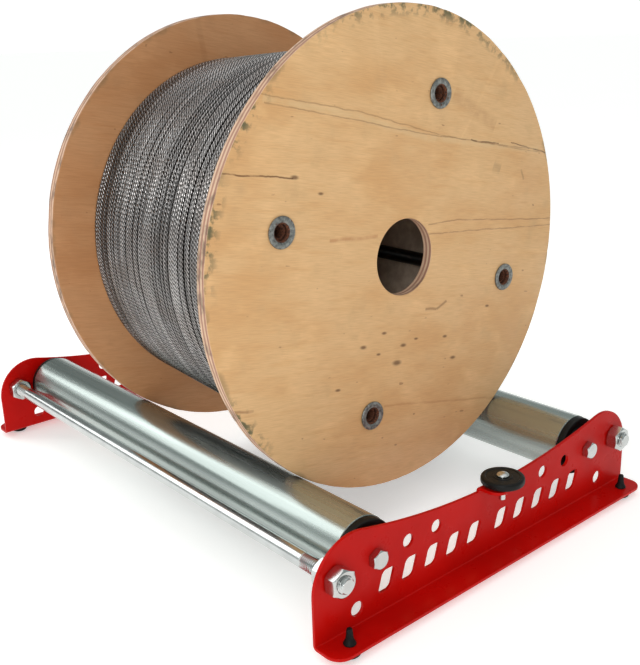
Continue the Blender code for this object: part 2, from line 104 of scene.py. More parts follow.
class PlateSettings(bpy.types.PropertyGroup):
    coat: bpy.props.FloatVectorProperty(
        name="Coat", description="Colour of the powder coat", subtype="COLOR",
        default=linear("BC0B06"), min=0, max=1)
    edge: bpy.props.FloatProperty(
        name="Edge rounding", description="How far the coat rounds the cut edges of the sheet",
        default=0.45 * MM, min=0.1 * MM, max=1.0 * MM, unit="LENGTH", precision=5)
    sheet: bpy.props.FloatProperty(
        name="Sheet", description="Thickness of the folded sheet",
        default=2.5 * MM, min=1 * MM, max=4 * MM, unit="LENGTH", precision=5)
    lobe: bpy.props.FloatProperty(
        name="Lobe radius", description="Radius of the rounded upper corners",
        default=36 * MM, min=20 * MM, max=40 * MM, unit="LENGTH", precision=5)
    flange: bpy.props.FloatProperty(
        name="Flange width", description="Width of the foot flange beyond the upright",
        default=22.5 * MM, min=15 * MM, max=30 * MM, unit="LENGTH", precision=5)


class HardwareSettings(bpy.types.PropertyGroup):
    zinc: bpy.props.FloatVectorProperty(
        name="Zinc", description="Colour of the zinc plating", subtype="COLOR",
        default=linear("C9CCCB"), min=0, max=1)
    nut_flats: bpy.props.FloatProperty(
        name="Nut size", description="Distance across the flats of the tie rods' nuts",
        default=19 * MM, min=16 * MM, max=22 * MM, unit="LENGTH", precision=5)
    pitch: bpy.props.FloatProperty(
        name="Thread pitch", description="Pitch of the tie rods' thread",
        default=1.75 * MM, min=1 * MM, max=2.5 * MM, unit="LENGTH", precision=5)
    bolt_flats: bpy.props.FloatProperty(
        name="Bolt size", description="Distance across the flats of the roller bolts' heads",
        default=13 * MM, min=10 * MM, max=17 * MM, unit="LENGTH", precision=5)


class RollerSettings(bpy.types.PropertyGroup):
    tube: bpy.props.FloatVectorProperty(
        name="Tube", description="Colour of the galvanised tubes", subtype="COLOR",
        default=linear("AEB8B4"), min=0, max=1)
    plastic: bpy.props.FloatVectorProperty(
        name="Plastic", description="Colour of the end caps and guide wheels", subtype="COLOR",
        default=linear("0B0C0B"), min=0, max=1)
    wheel_rim: bpy.props.FloatProperty(
        name="Wheel rim", description="Rounding of the guide wheels' treads",
        default=1.9 * MM, min=0.5 * MM, max=2.5 * MM, unit="LENGTH", precision=5)


class ReelSettings(bpy.types.PropertyGroup):
    veneer: bpy.props.FloatVectorProperty(
        name="Veneer", description="Colour of the boards' face veneer", subtype="COLOR",
        default=linear("D4AC7C"), min=0, max=1)
    dents: bpy.props.FloatProperty(
        name="Rim dents", description="Depth of the dents round the boards' rims",
        default=0.7 * MM, min=0, max=2 * MM, unit="LENGTH", precision=5)
    rope: bpy.props.FloatVectorProperty(
        name="Rope", description="Colour of the wire rope", subtype="COLOR",
        default=linear("F4EFED"), min=0, max=1)
    rope_radius: bpy.props.FloatProperty(
        name="Rope radius", description="Radius round the rope's strands",
        default=1.8 * MM, min=1 * MM, max=3 * MM, unit="LENGTH", precision=5)
    turns: bpy.props.IntProperty(
        name="Turns", description="Turns of rope in the outer layer", default=52, min=20, max=60)
    lay: bpy.props.FloatProperty(
        name="Lay", description="Length of rope in which a strand goes round once",
        default=20 * MM, min=10 * MM, max=40 * MM, unit="LENGTH", precision=5)


class StudioSettings(bpy.types.PropertyGroup):
    floor: bpy.props.FloatVectorProperty(
        name="Floor", description="Colour of the floor", subtype="COLOR",
        default=linear("F4F4F2"), min=0, max=1)
    key: bpy.props.FloatProperty(
        name="Key light", description="Power of the large soft light, in watts",
        default=14.0, min=0, max=500)
    sky: bpy.props.FloatProperty(
        name="Surroundings", description="Brightness of the white surroundings",
        default=1.05, min=0, max=5)
    glow: bpy.props.FloatProperty(
        name="Floor glow", description="How far the lit paper floor glows by itself",
        default=0.39, min=0, max=2)
    lens: bpy.props.FloatProperty(
        name="Lens", description="Focal length of the camera, in millimetres",
        default=50.41, min=20, max=120)


# ---------------------------------------------------------------- materials

def add_node(tree, kind, inputs, output=0, **settings):
    """Adds a shader node with its settings, values and links, and returns one of its outputs."""
    made = tree.nodes.new("ShaderNode" + kind)
    for name, value in settings.items():
        setattr(made, name, value)
    for name, value in inputs.items():
        if isinstance(value, bpy.types.NodeSocket):
            tree.links.new(value, made.inputs[name])
        else:
            made.inputs[name].default_value = value
    return made.outputs[output]


def start_material(name, metallic, roughness, colour):
    """A material with its Principled shader and the piece's own coordinates."""
    made = bpy.data.materials.new(name)
    made.use_nodes = True
    tree = made.node_tree
    shader = tree.nodes["Principled BSDF"]
    shader.inputs["Base Color"].default_value = rgba(colour)
    shader.inputs["Metallic"].default_value = metallic
    shader.inputs["Roughness"].default_value = roughness
    return made, tree, shader, add_node(tree, "TexCoord", {}, "Object")


def patches(tree, spot, size, low, high, start=0.0, end=1.0, stretch=(1, 1, 1), detail=3.0, seed=0):
    """Soft patches about `size` across, drawn out by `stretch`. Noise from low to high gives a
    value from start to end."""
    placed = add_node(tree, "Mapping", {"Vector": spot, "Location": (seed, seed * 0.37, -seed),
                                        "Scale": [1 / share for share in stretch]})
    cloud = add_node(tree, "TexNoise", {"Vector": placed, "Scale": 1 / size, "Detail": detail,
                                        "Roughness": 0.55})
    return add_node(tree, "MapRange", {0: cloud, 1: low, 2: high, 3: start, 4: end},
                    interpolation_type="SMOOTHSTEP")


def layered(tree, share, below, above, strength=1.0):
    """One colour laid over another where `share` is high."""
    amount = add_node(tree, "Math", {0: share, 1: strength}, operation="MULTIPLY")
    colours = [value if isinstance(value, bpy.types.NodeSocket) else rgba(value)
               for value in (below, above)]
    return add_node(tree, "Mix", {0: amount, 6: colours[0], 7: colours[1]}, 2, data_type="RGBA")


def finished(tree, shader, colour=None, roughness=None, height=None, depth=0.0):
    """Links the patterns to the shader, with `depth` the height of the bumps in metres."""
    links = {"Base Color": colour, "Roughness": roughness}
    if height is not None:
        links["Normal"] = add_node(tree, "Bump", {"Height": height, "Distance": depth,
                                                  "Strength": 0.6})
    for name, socket in links.items():
        if socket is not None:
            tree.links.new(socket, shader.inputs[name])


def shaded(colour, share):
    """A darker or lighter shade of a linear colour."""
    return tuple(min(1.0, channel * share) for channel in colour)


def powder_coat(colour):
    """Polyester powder coat baked on steel: deep and even, with a fine orange peel."""
    made, tree, shader, spot = start_material("powder_coated_steel_red", 0.0, 0.32, colour)
    cloud = patches(tree, spot, 70 * MM, 0.35, 0.65)
    shade = layered(tree, cloud, colour, shaded(colour, 0.88))
    # rubs where reels and ropes are dragged over the plate, a few millimetres long
    rub = patches(tree, spot, 4 * MM, 0.74, 0.80, stretch=(1, 3, 1), seed=0.4)
    shade = layered(tree, rub, shade, "C23A2E", 0.14)
    gloss = patches(tree, spot, 16 * MM, 0.3, 0.7, 0.26, 0.38, seed=0.2)
    # orange peel about 1.6 mm across
    peel = patches(tree, spot, 1.6 * MM, 0.2, 0.8, detail=1)
    finished(tree, shader, shade, gloss, peel, 0.012 * MM)
    shader.inputs["Specular IOR Level"].default_value = 0.10
    return made


def zinc_plate(colour):
    """Electro-plated zinc on machined steel: silvery, with faint cloudy handling marks."""
    made, tree, shader, spot = start_material("zinc_plated_steel_bright", 1.0, 0.25, colour)
    cloud = patches(tree, spot, 14 * MM, 0.35, 0.75, detail=1)
    shade = layered(tree, cloud, colour, shaded(colour, 0.88))
    rough = patches(tree, spot, 12 * MM, 0.3, 0.7, 0.17, 0.22, detail=1, seed=0.3)
    # turning marks about 0.5 mm apart
    marks = patches(tree, spot, 0.5 * MM, 0.2, 0.8, stretch=(1, 12, 12), detail=1)
    finished(tree, shader, shade, rough, marks, 0.0004 * MM)
    return made


def galvanised_tube(colour):
    """Galvanised steel tube: drawn lengthwise, so its reflections run in long dull streaks."""
    made, tree, shader, spot = start_material("galvanised_steel_tube", 0.90, 0.25, colour)
    streak = patches(tree, spot, 7 * MM, 0.35, 0.70, stretch=(60, 1, 1), detail=1)
    cloud = patches(tree, spot, 45 * MM, 0.45, 0.75, stretch=(3, 1, 1), detail=1, seed=0.3)
    shade = layered(tree, streak, colour, shaded(colour, 0.80))
    shade = layered(tree, cloud, shade, shaded(colour, 0.72), 0.6)
    rough = patches(tree, spot, 5 * MM, 0.3, 0.7, 0.20, 0.30, stretch=(50, 1, 1), detail=1,
                    seed=0.6)
    finished(tree, shader, shade, rough, streak, 0.006 * MM)
    return made


def bright_steel(name, colour, roughness):
    """Drawn or ground steel: grey, with turning marks about 0.5 mm apart."""
    made, tree, shader, spot = start_material(name, 1.0, roughness, colour)
    marks = patches(tree, spot, 0.5 * MM, 0.3, 0.7, stretch=(1, 10, 10), detail=2)
    rough = patches(tree, spot, 2 * MM, 0.3, 0.7, roughness, roughness + 0.12)
    finished(tree, shader, layered(tree, marks, colour, "7E8182"), rough, marks, 0.004 * MM)
    return made


def moulded_black(name, colour, grain, roughness):
    """Moulded black plastic or rubber: nearly black, with a fine spark-eroded grain and dust."""
    made, tree, shader, spot = start_material(name, 0.0, roughness, colour)
    dust = patches(tree, spot, 4 * MM, 0.45, 0.80, detail=4)
    rough = patches(tree, spot, 3 * MM, 0.3, 0.7, roughness - 0.06, roughness + 0.12, seed=0.5)
    pits = patches(tree, spot, grain, 0.2, 0.8, detail=2)
    finished(tree, shader, layered(tree, dust, colour, "30302C", 0.10), rough, pits, 0.02 * MM)
    shader.inputs["Specular IOR Level"].default_value = 0.20
    return made


# Marks on the near board's outer face, in millimetres (y, z) from the reel's axis. Each has its
# route, half width, strength and colour.
FILLED_STRIP = [([(-131, 128), (-50, 110.5), (25, 89), (163, 66)], 3.0, 0.38, "D0B68C")]
FACE_LINES = [
    ([(-132, 130.5), (-46, 113), (51, 86.7), (176, 62)], 0.55, 0.55, "8E6A44"),
    ([(-130, 125), (-2, 97), (63, 84), (151, 68.5)], 0.55, 0.60, "8E6A44"),
    ([(75, 82.3), (110, 76.5)], 0.60, 0.75, "5A3B22"),
    ([(126, 76), (176, 62)], 0.55, 0.75, "5A3B22"),
    ([(-166.5, 83), (-108, 73.8)], 0.65, 0.85, "5E3C22"),
    ([(26, 21.4), (60, 20.4), (187, 3.1)], 0.60, 0.60, "8A6240"),
    ([(26, 13.8), (60, 11), (188, -2.8)], 0.60, 0.55, "8A6240"),
    ([(-29, 21.3), (-77, 25.3)], 1.60, 0.45, "A5673C"),
    ([(23, -46.8), (36, -49), (48, -44.6)], 1.20, 0.60, "7A5634"),
    ([(-24.5, -117), (4.6, -122.7), (120, -149.5)], 1.10, 0.40, "A8713F"),
    ([(54, 119), (105, 91)], 6.0, 0.26, "9A6A40"),
    ([(-168, -80.3), (-152, -83.8)], 1.20, 0.55, "7A5030"),
    ([(104, 59), (113, 55)], 4.5, 0.30, "84704E"),
    ([(141, 52), (145, 43)], 1.1, 0.5, "84683F"),
]
# Small knots and flecks, as (y, z) and half width
FACE_KNOTS = [(-107, 74, 1.7), (-46, -62.5, 1.6), (-23.6, -56.2, 1.3), (-2.6, -71, 1.6),
              (-9.9, -84, 2.4), (46.4, -75, 1.3), (56.6, -96, 1.6), (-30, -72, 1.1),
              (12, -69, 1.1), (-73, -90, 1.3), (100, -60, 1.2), (-84, 60, 1.2)]
# Middle (y, z) and half width of the parts of the rim that are stained green and grey
RIM_STAINS = [(-176, 40, 40), (-140, 112, 26), (40, 172, 60), (-150, -95, 24)]


def line_mark(tree, spot, route, half_width, wander):
    """How strongly a ragged line through these (y, z) points, in millimetres, shows."""
    strongest = 0.0
    for (y0, z0), (y1, z1) in zip(route, route[1:]):
        length = math.hypot(y1 - y0, z1 - z0) * MM
        moved = add_node(tree, "Mapping", {
            "Vector": spot, "Rotation": (math.atan2(z1 - z0, y1 - y0), 0, 0),
            "Location": (0, REEL_CENTRE.y + y0 * MM, REEL_CENTRE.z + z0 * MM)},
            vector_type="TEXTURE")
        _, along, off = add_node(tree, "SeparateXYZ", {0: moved}).node.outputs
        off = add_node(tree, "Math", {0: off, 1: wander}, operation="ADD")
        past = add_node(tree, "Math", {0: along, 1: length / 2, 2: length / 2},
                        operation="COMPARE")
        off = add_node(tree, "Math", {0: off}, operation="ABSOLUTE")
        near = add_node(tree, "MapRange", {0: off, 1: half_width * MM * 0.2,
                                           2: half_width * MM * 1.4, 3: 1, 4: 0},
                        interpolation_type="SMOOTHSTEP")
        piece = add_node(tree, "Math", {0: near, 1: past}, operation="MULTIPLY")
        strongest = add_node(tree, "Math", {0: piece, 1: strongest}, operation="MAXIMUM")
    return strongest


def spot_mark(tree, spot, y, z, half_width):
    """A small oval knot, drawn out along the grain."""
    moved = add_node(tree, "Mapping", {
        "Vector": spot, "Location": (0, REEL_CENTRE.y + y * MM, REEL_CENTRE.z + z * MM),
        "Rotation": (GRAIN_ANGLE, 0, 0), "Scale": (1000, half_width * 2.3 * MM, half_width * MM)},
        vector_type="TEXTURE")
    out = add_node(tree, "VectorMath", {0: moved}, "Value", operation="LENGTH")
    return add_node(tree, "MapRange", {0: out, 1: 0.3, 2: 1.3, 3: 1, 4: 0},
                    interpolation_type="SMOOTHSTEP")


def veneer(tree, grain, tint):
    """A board's smooth mottled face: broad figure, streaks along the grain, drab patches and
    flecks. Returns its colour and its fibres."""
    warm = (tint[0] * 0.93, tint[1] * 0.82, tint[2] * 0.70)
    drab = (tint[0] * 0.86, tint[1] * 0.86, tint[2] * 0.84)
    figure = patches(tree, grain, 40 * MM, 0.38, 0.68, stretch=(1, 2.4, 1), seed=0.1)
    light = patches(tree, grain, 26 * MM, 0.50, 0.78, stretch=(1, 1.5, 1), seed=0.7)
    streaks = patches(tree, grain, 5 * MM, 0.50, 0.80, stretch=(1, 9, 1), seed=0.2)
    grubby = patches(tree, grain, 30 * MM, 0.55, 0.80, detail=5, seed=0.9)
    fibres = patches(tree, grain, 0.6 * MM, 0.30, 0.75, stretch=(1, 22, 1), detail=2)
    fleck = patches(tree, grain, 4 * MM, 0.755, 0.80, stretch=(1, 2.5, 1), detail=1, seed=0.5)
    face = shaded(tint, 1.04)
    # each pattern's colour and strength
    for share, colour, strength in ((figure, warm, 0.8), (light, shaded(tint, 1.18), 0.7),
                                    (streaks, warm, 0.75), (grubby, drab, 0.85),
                                    (fibres, shaded(warm, 0.70), 0.34), (fleck, "7A5232", 0.55)):
        face = layered(tree, share, face, colour, strength)
    return face, fibres


def marked_face(tree, spot, face):
    """The filled strip, cracks, rubs and knots of the near board."""
    wander = patches(tree, spot, 18 * MM, 0.3, 0.7, -0.5 * MM, 0.5 * MM, detail=5)
    broken = patches(tree, spot, 9 * MM, 0.30, 0.55, 0.45, 1, seed=0.8)
    for route, half_width, strength, colour in FILLED_STRIP + FACE_LINES:
        line = line_mark(tree, spot, route, half_width, wander)
        line = add_node(tree, "Math", {0: line, 1: broken}, operation="MULTIPLY")
        face = layered(tree, line, face, colour, strength)
    for place_y, place_z, half_width in FACE_KNOTS:
        knot = spot_mark(tree, spot, place_y, place_z, half_width)
        face = layered(tree, knot, face, "4E2E1A", 0.75)
    return face


def grimy_rim(tree, spot, face, off, stained):
    """Grime rubbed into the last few millimetres, with green and grey smudges where stained."""
    reach = patches(tree, spot, 26 * MM, 0.42, 0.70, REEL_RADIUS, REEL_RADIUS - 6 * MM, detail=5)
    edge = add_node(tree, "Math", {0: off, 1: reach}, operation="SUBTRACT")
    edge = add_node(tree, "MapRange", {0: edge, 1: 0, 2: 5 * MM}, interpolation_type="SMOOTHSTEP")
    face = layered(tree, edge, face, "6F6146", 0.45)
    if not stained:
        return face
    near_rim = add_node(tree, "MapRange", {0: off, 1: REEL_RADIUS - 11 * MM,
                                           2: REEL_RADIUS - 2 * MM})
    smudge = patches(tree, spot, 7 * MM, 0.48, 0.62, detail=5, seed=0.35)
    smudge = add_node(tree, "Math", {0: smudge, 1: near_rim}, operation="MULTIPLY")
    for place_y, place_z, half_width in RIM_STAINS:
        here = spot_mark(tree, spot, place_y, place_z, half_width)
        here = add_node(tree, "Math", {0: here, 1: smudge}, operation="MULTIPLY")
        face = layered(tree, here, face, "46503A", 0.85)
    return face


def ply_edges(tree, spot, depth):
    """The plies in a board's edges, from how deep they lie in it, counted in plies."""
    waver = patches(tree, spot, 18 * MM, 0.3, 0.7, -0.1, 0.1, seed=0.4)
    ply = add_node(tree, "Math", {0: depth, 1: waver}, operation="ADD")
    turned_ply = add_node(tree, "Math", {0: ply, 1: 1.0}, operation="PINGPONG")
    crosswise = add_node(tree, "MapRange", {0: turned_ply, 1: 0.35, 2: 0.65},
                         interpolation_type="SMOOTHSTEP")
    layers = layered(tree, crosswise, "D6B699", "A97D69")
    layers = layered(tree, patches(tree, spot, 5 * MM, 0.45, 0.75, stretch=(0.3, 3, 3)), layers,
                     "9C6E54", 0.55)
    worn = patches(tree, spot, 16 * MM, 0.50, 0.70, stretch=(0.6, 1, 1), detail=5, seed=0.6)
    return layered(tree, worn, layers, "5C4D42", 0.7)


def plywood(name, face_x, inwards, tint, marked):
    """Rotary-cut softwood plywood: smooth mottled veneer, handled until it is grimy at the rim. In
    its edges five plies show, light where cut along the grain and reddish where cut across it."""
    made, tree, shader, spot = start_material(name, 0.0, 0.62, tint)
    grain = add_node(tree, "Mapping", {"Vector": spot, "Location": REEL_CENTRE,
                                       "Rotation": (GRAIN_ANGLE, 0, 0)}, vector_type="TEXTURE")
    face, fibres = veneer(tree, grain, tint)
    if marked:
        face = marked_face(tree, spot, face)
    x, y, z = add_node(tree, "SeparateXYZ", {0: spot}).node.outputs
    flat = add_node(tree, "CombineXYZ", {1: y, 2: z})
    off = add_node(tree, "VectorMath", {0: flat, 1: (0, REEL_CENTRE.y, REEL_CENTRE.z)}, "Value",
                   operation="DISTANCE")
    face = grimy_rim(tree, spot, face, off, marked)
    # depth below the outer face, in plies
    depth = add_node(tree, "Math", {0: x, 1: -face_x}, operation="ADD")
    depth = add_node(tree, "Math", {0: depth, 1: inwards / BOARD * PLIES}, operation="MULTIPLY")
    inside = add_node(tree, "Math", {0: depth, 1: PLIES / 2, 2: PLIES / 2 - 0.28},
                      operation="COMPARE")
    colour = layered(tree, inside, face, ply_edges(tree, spot, depth))
    rough = patches(tree, spot, 60 * MM, 0.3, 0.7, 0.52, 0.70, seed=0.15)
    finished(tree, shader, colour, rough, fibres, 0.035 * MM)
    shader.inputs["Specular IOR Level"].default_value = 0.3
    return made


def fibreboard():
    """Bent grey-brown fibreboard: soft and mottled, with the paper's fibres about 1 mm apart."""
    made, tree, shader, spot = start_material("bent_fibreboard", 0.0, 0.85, "DCC8B2")
    mottle = patches(tree, spot, 14 * MM, 0.3, 0.7, detail=5)
    fibres = patches(tree, spot, 1.2 * MM, 0.2, 0.8)
    finished(tree, shader, layered(tree, mottle, "E6D2BC", "C2AA94"), None, fibres, 0.05 * MM)
    return made


def wire_rope(colour):
    """Stranded steel rope: bright drawn wires on the strands' crowns, with painted shade in the
    grooves between the strands and deeper painted shade between the turns."""
    made, tree, shader, spot = start_material("stranded_steel_wire_rope", 1.0, 0.32, colour)
    groove = add_node(tree, "Attribute", {}, "Fac", attribute_name="groove")
    buried = add_node(tree, "Attribute", {}, "Fac", attribute_name="buried")
    # turns are cleaner or greasier over some centimetres, and the wires are 0.5 mm apart
    tone = patches(tree, spot, 5 * MM, 0.30, 0.72, stretch=(0.9, 12, 12), detail=2, seed=0.3)
    wires = patches(tree, spot, 0.6 * MM, 0.25, 0.75, detail=2)
    shade = layered(tree, tone, colour, shaded(colour, 0.34), 0.85)
    shade = layered(tree, wires, shade, shaded(colour, 0.30), 0.35)
    tinge = patches(tree, spot, 30 * MM, 0.45, 0.65, detail=2, seed=0.8)
    shade = layered(tree, tinge, shade, "A8988E", 0.30)
    # painted shade in the grooves between the strands, from the groove attribute
    dark = add_node(tree, "MapRange", {0: groove, 1: 0.15, 2: 0.62},
                    interpolation_type="SMOOTHSTEP")
    shade = layered(tree, dark, shade, "1B1816", 0.96)
    # painted shade between the turns, darker the further a point lies below the outside of the pack
    deep = add_node(tree, "MapRange", {0: buried, 1: 0.25, 2: 0.70},
                    interpolation_type="SMOOTHSTEP")
    shade = layered(tree, deep, shade, "12100F", 0.95)
    rough = patches(tree, spot, 1.5 * MM, 0.3, 0.7, 0.22, 0.40, seed=0.5)
    finished(tree, shader, shade, rough, wires, 0.03 * MM)
    return made


def lower_layers_in_shade():
    """The layers below: the same rope, painted near black as the shade in the gaps between the
    outer turns, in bands one turn wide.
    """
    made, tree, shader, spot = start_material("lower_rope_painted_shade", 0.6, 0.55, "201D1C")
    rows = patches(tree, spot, 2.4 * MM, 0.4, 0.7, stretch=(1, 8, 8))
    # painted shade: these near-black colours stand for the shade in the gaps between the outer
    # turns
    finished(tree, shader, layered(tree, rows, "141211", "37332F"), None, rows, 0.4 * MM)
    return made


def rusty_steel(name, rusty):
    """Pressed or bare steel left outdoors: dull grey where it is rubbed, brown and orange rust in
    the rest. `rusty` goes from 0 for almost clean to 1 for rust all over."""
    made, tree, shader, spot = start_material(name, 0.75, 0.5, "6F7071")
    low = 0.66 - 0.48 * rusty
    rust = patches(tree, spot, 3 * MM, low, low + 0.12, detail=5)
    cloud = patches(tree, spot, 2.5 * MM, 0.3, 0.7, seed=0.2)
    grit = patches(tree, spot, 1.1 * MM, 0.3, 0.7, seed=0.7)
    fresh = layered(tree, cloud, "8C8E8A", "5C5E5C")
    brown = layered(tree, grit, "2A170F", "6E3C20")
    colour = layered(tree, rust, fresh, brown)
    metal = add_node(tree, "MapRange", {0: rust, 3: 0.85, 4: 0.05})
    tree.links.new(metal, shader.inputs["Metallic"])
    rough = add_node(tree, "MapRange", {0: rust, 3: 0.42, 4: 0.88})
    finished(tree, shader, colour, rough, cloud, 0.05 * MM)
    return made


def black_bar():
    """Hot-rolled steel bar with its dark mill scale."""
    made, tree, shader, spot = start_material("mill_scale_steel", 0.6, 0.4, "1A1A1B")
    scale = patches(tree, spot, 4 * MM, 0.45, 0.8, stretch=(3, 1, 1), detail=4)
    finished(tree, shader, layered(tree, scale, "151615", "4A3A30"), None, scale, 0.05 * MM)
    return made


# ---------------------------------------------------------------- mesh helpers

def mesh_of(name, bm):
    """The bmesh as a mesh, faces outwards, smooth except at its sharp edges."""
    bmesh.ops.recalc_face_normals(bm, faces=bm.faces)
    mesh = bpy.data.meshes.new(name)
    bm.to_mesh(mesh)
    bm.free()
    mesh.shade_smooth()
    mesh.set_sharp_from_angle(angle=SMOOTH_ANGLE)
    return mesh


def object_of(name, mesh):
    """A new object in the scene."""
    obj = bpy.data.objects.new(name, mesh)
    bpy.context.scene.collection.objects.link(obj)
    return obj


def finish_piece(name, mesh, materials, body, nodes, edge=0.0):
    """The piece that stands for these nodes, on its body, with its edges rounded if asked."""
    obj = object_of(name, mesh)
    for material in materials:
        obj.data.materials.append(material)
    if edge:
        rounding = obj.modifiers.new("rounded_edges", "BEVEL")
        rounding.width = edge
        rounding.segments = 2
        rounding.limit_method = "ANGLE"
        rounding.angle_limit = math.radians(35)
        rounding.harden_normals = True
    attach(obj, body)
    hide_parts(*nodes)
    return obj


def restore(node, material):
    """Gives a node that keeps its own mesh a better material."""
    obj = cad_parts[node]
    obj.data.materials.clear()
    obj.data.materials.append(material)


def in_metres(profile):
    """A profile given in millimetres."""
    return [(along * MM, radius * MM) for along, radius in profile]


def turned(profile, axis="X", steps=96, centre=(0, 0, 0)):
    """Spins a profile of (along the axis, radius) points round. One that meets the axis is open."""
    bm = bmesh.new()
    outward = AXES["Z"] if axis == "X" else AXES["X"]
    points = [bm.verts.new(AXES[axis] * along + outward * radius) for along, radius in profile]
    for first, second in zip(points, points[1:]):
        bm.edges.new((first, second))
    if profile[0][1] > 0:
        bm.edges.new((points[-1], points[0]))
    bmesh.ops.spin(bm, geom=bm.verts[:] + bm.edges[:], cent=(0, 0, 0), axis=AXES[axis],
                   angle=math.tau, steps=steps, use_merge=True)
    bmesh.ops.remove_doubles(bm, verts=bm.verts, dist=MM / 1000)
    bmesh.ops.translate(bm, vec=centre, verts=bm.verts)
    return bm


def along_axis(bm, side, centre):
    """Turns a piece made for the +X end to face this side, and sets it at its centre."""
    if side < 0:
        bmesh.ops.rotate(bm, cent=(0, 0, 0), matrix=Matrix.Rotation(math.pi, 3, "Z"),
                         verts=bm.verts)
    bmesh.ops.translate(bm, vec=centre, verts=bm.verts)
    return bm


def joined(parts):
    """Several bmeshes as one."""
    whole = bmesh.new()
    for part in parts:
        mesh = bpy.data.meshes.new("part")
        bmesh.ops.recalc_face_normals(part, faces=part.faces)
        part.to_mesh(mesh)
        part.free()
        whole.from_mesh(mesh)
        bpy.data.meshes.remove(mesh)
    return whole


def hexagonal(bm, flats, beyond, axis="X"):
    """Draws points outside a hexagon in to it, so that cones become chamfered corners."""
    direction = AXES[axis]
    for vert in bm.verts:
        out = vert.co - direction * vert.co.dot(direction)
        if out.length < beyond:
            continue
        angle = math.atan2(out.y, out.z if axis == "X" else out.x)
        from_flat = (angle % math.radians(60)) - math.radians(30)
        limit = flats / 2 / math.cos(from_flat)
        if out.length > limit:
            vert.co -= out * (1 - limit / out.length)
    return bm


def chamfer_rows(start, height, flats, both_ends):
    """Profile rows of a hexagon's outside, dense where the chamfer cuts its corners."""
    face = flats * 0.475            # radius of the round face
    corner = flats * 0.58           # just outside the corners
    rise = (corner - face) / math.sqrt(3)
    rows = [(rise * k / 5, face + (corner - face) * k / 5) for k in range(6)]
    head = [(start + along, radius) for along, radius in rows] if both_ends else [
        (start, corner)]
    tail = [(start + height - along, radius) for along, radius in reversed(rows)]
    return head + tail


def nut(flats, height, bore, axis="X"):
    """Hexagon nut from 0 to its height, chamfered at both ends and countersunk."""
    depth = 0.7 * MM
    sink = bore + depth
    profile = [(depth, bore), (0, sink)] + chamfer_rows(0, height, flats, True)
    profile += [(height, sink), (height - depth, bore)]
    return hexagonal(turned(profile, axis, 72), flats, sink * 1.05, axis)


def bolt(flats, head, shank, length):
    """Hexagon bolt along X, its head from 0 outwards and its shank inwards."""
    rim = flats * 0.44
    ease, dish = 0.5 * MM, 0.12 * MM
    profile = [(-length, 0), (-length, shank - ease), (-length + ease, shank),
               (0, shank)] + chamfer_rows(0, head, flats, False)
    profile += [(head, rim), (head - dish, rim - ease), (head - dish, 0)]
    return hexagonal(turned(profile, "X", 72), flats, shank * 1.1)


def thread(start, end, radius, pitch):
    """A screw thread along X between two flat ends, chamfered at the far one."""
    bm = bmesh.new()
    root = radius - 0.61 * pitch    # depth of a metric thread
    chamfer = 1.1 * MM
    first = start - pitch
    # one pitch of the thread's outline, as (share of the pitch, radius)
    shape = [(0, root), (0.10, root), (0.45, radius), (0.60, radius), (1, root)]
    points = [bm.verts.new((first + share * pitch, 0, out)) for share, out in shape]
    for a, b in zip(points, points[1:]):
        bm.edges.new((a, b))
    turns = math.ceil((end - start) / pitch) + 2
    steps = 28
    bmesh.ops.spin(bm, geom=bm.verts[:] + bm.edges[:], cent=(0, 0, 0), axis=AXES["X"],
                   dvec=(pitch / steps, 0, 0), angle=math.tau * turns, steps=steps * turns)
    bmesh.ops.remove_doubles(bm, verts=bm.verts, dist=MM / 200)
    for place, direction in ((start, -1), (end, 1)):
        bmesh.ops.bisect_plane(bm, geom=bm.verts[:] + bm.edges[:] + bm.faces[:],
                               plane_co=(place, 0, 0), plane_no=(direction, 0, 0),
                               clear_outer=True)
        rim = [e for e in bm.edges if e.is_boundary
               and all(abs(v.co.x - place) < MM / 50 for v in e.verts)]
        bmesh.ops.edgeloop_fill(bm, edges=rim)
    for vert in bm.verts:
        out = math.hypot(vert.co.y, vert.co.z)
        limit = radius - chamfer + max(0, end - vert.co.x)
        if out > limit:
            vert.co.y *= limit / out
            vert.co.z *= limit / out
    return bm


def swing(bm, start, centre, angle, steps):
    """Spins one vertex about X into a chain of edges and returns the last of it."""
    made = bmesh.ops.spin(bm, geom=[start], cent=(start.co.x, *centre), axis=AXES["X"],
                          angle=angle, steps=steps)
    return next(item for item in made["geom_last"] if isinstance(item, bmesh.types.BMVert))


def carved(name, mesh, cutter_mesh):
    """The mesh with the cutter's solids taken out."""
    obj = object_of(name + "_blank", mesh)
    cutter = object_of(name + "_cutter", cutter_mesh)
    difference = obj.modifiers.new("holes", "BOOLEAN")
    difference.operation = "DIFFERENCE"
    difference.object = cutter
    bpy.context.view_layer.update()
    result = bpy.data.meshes.new_from_object(obj.evaluated_get(
        bpy.context.evaluated_depsgraph_get()))
    for used in (obj, cutter):
        bpy.data.objects.remove(used, do_unlink=True)
    result.name = name
    bm = bmesh.new()
    bm.from_mesh(result)
    bmesh.ops.remove_doubles(bm, verts=bm.verts, dist=MM / 500)
    bpy.data.meshes.remove(result)
    return mesh_of(name, bm)


# ---------------------------------------------------------------- side plates

# Driving sizes of the folded side plates, heights from the floor
LOBE_Z = 43 * MM                # centres of the round lobes
ARCH_Z = 62.3 * MM              # lowest point of the hollow top edge
TAB_TOP_Z = 66.5 * MM
TAB_HALF = 16.6 * MM            # half the width of the guide wheel's tab
TAB_REACH = 18.5 * MM
TAB_CORNER = 10 * MM
FLANGE_CORNER = 12 * MM
BEND_RADIUS = 1 * MM
LOBE_STEPS, ARCH_STEPS, BEND_STEPS, CORNER_STEPS = 26, 22, 8, 10
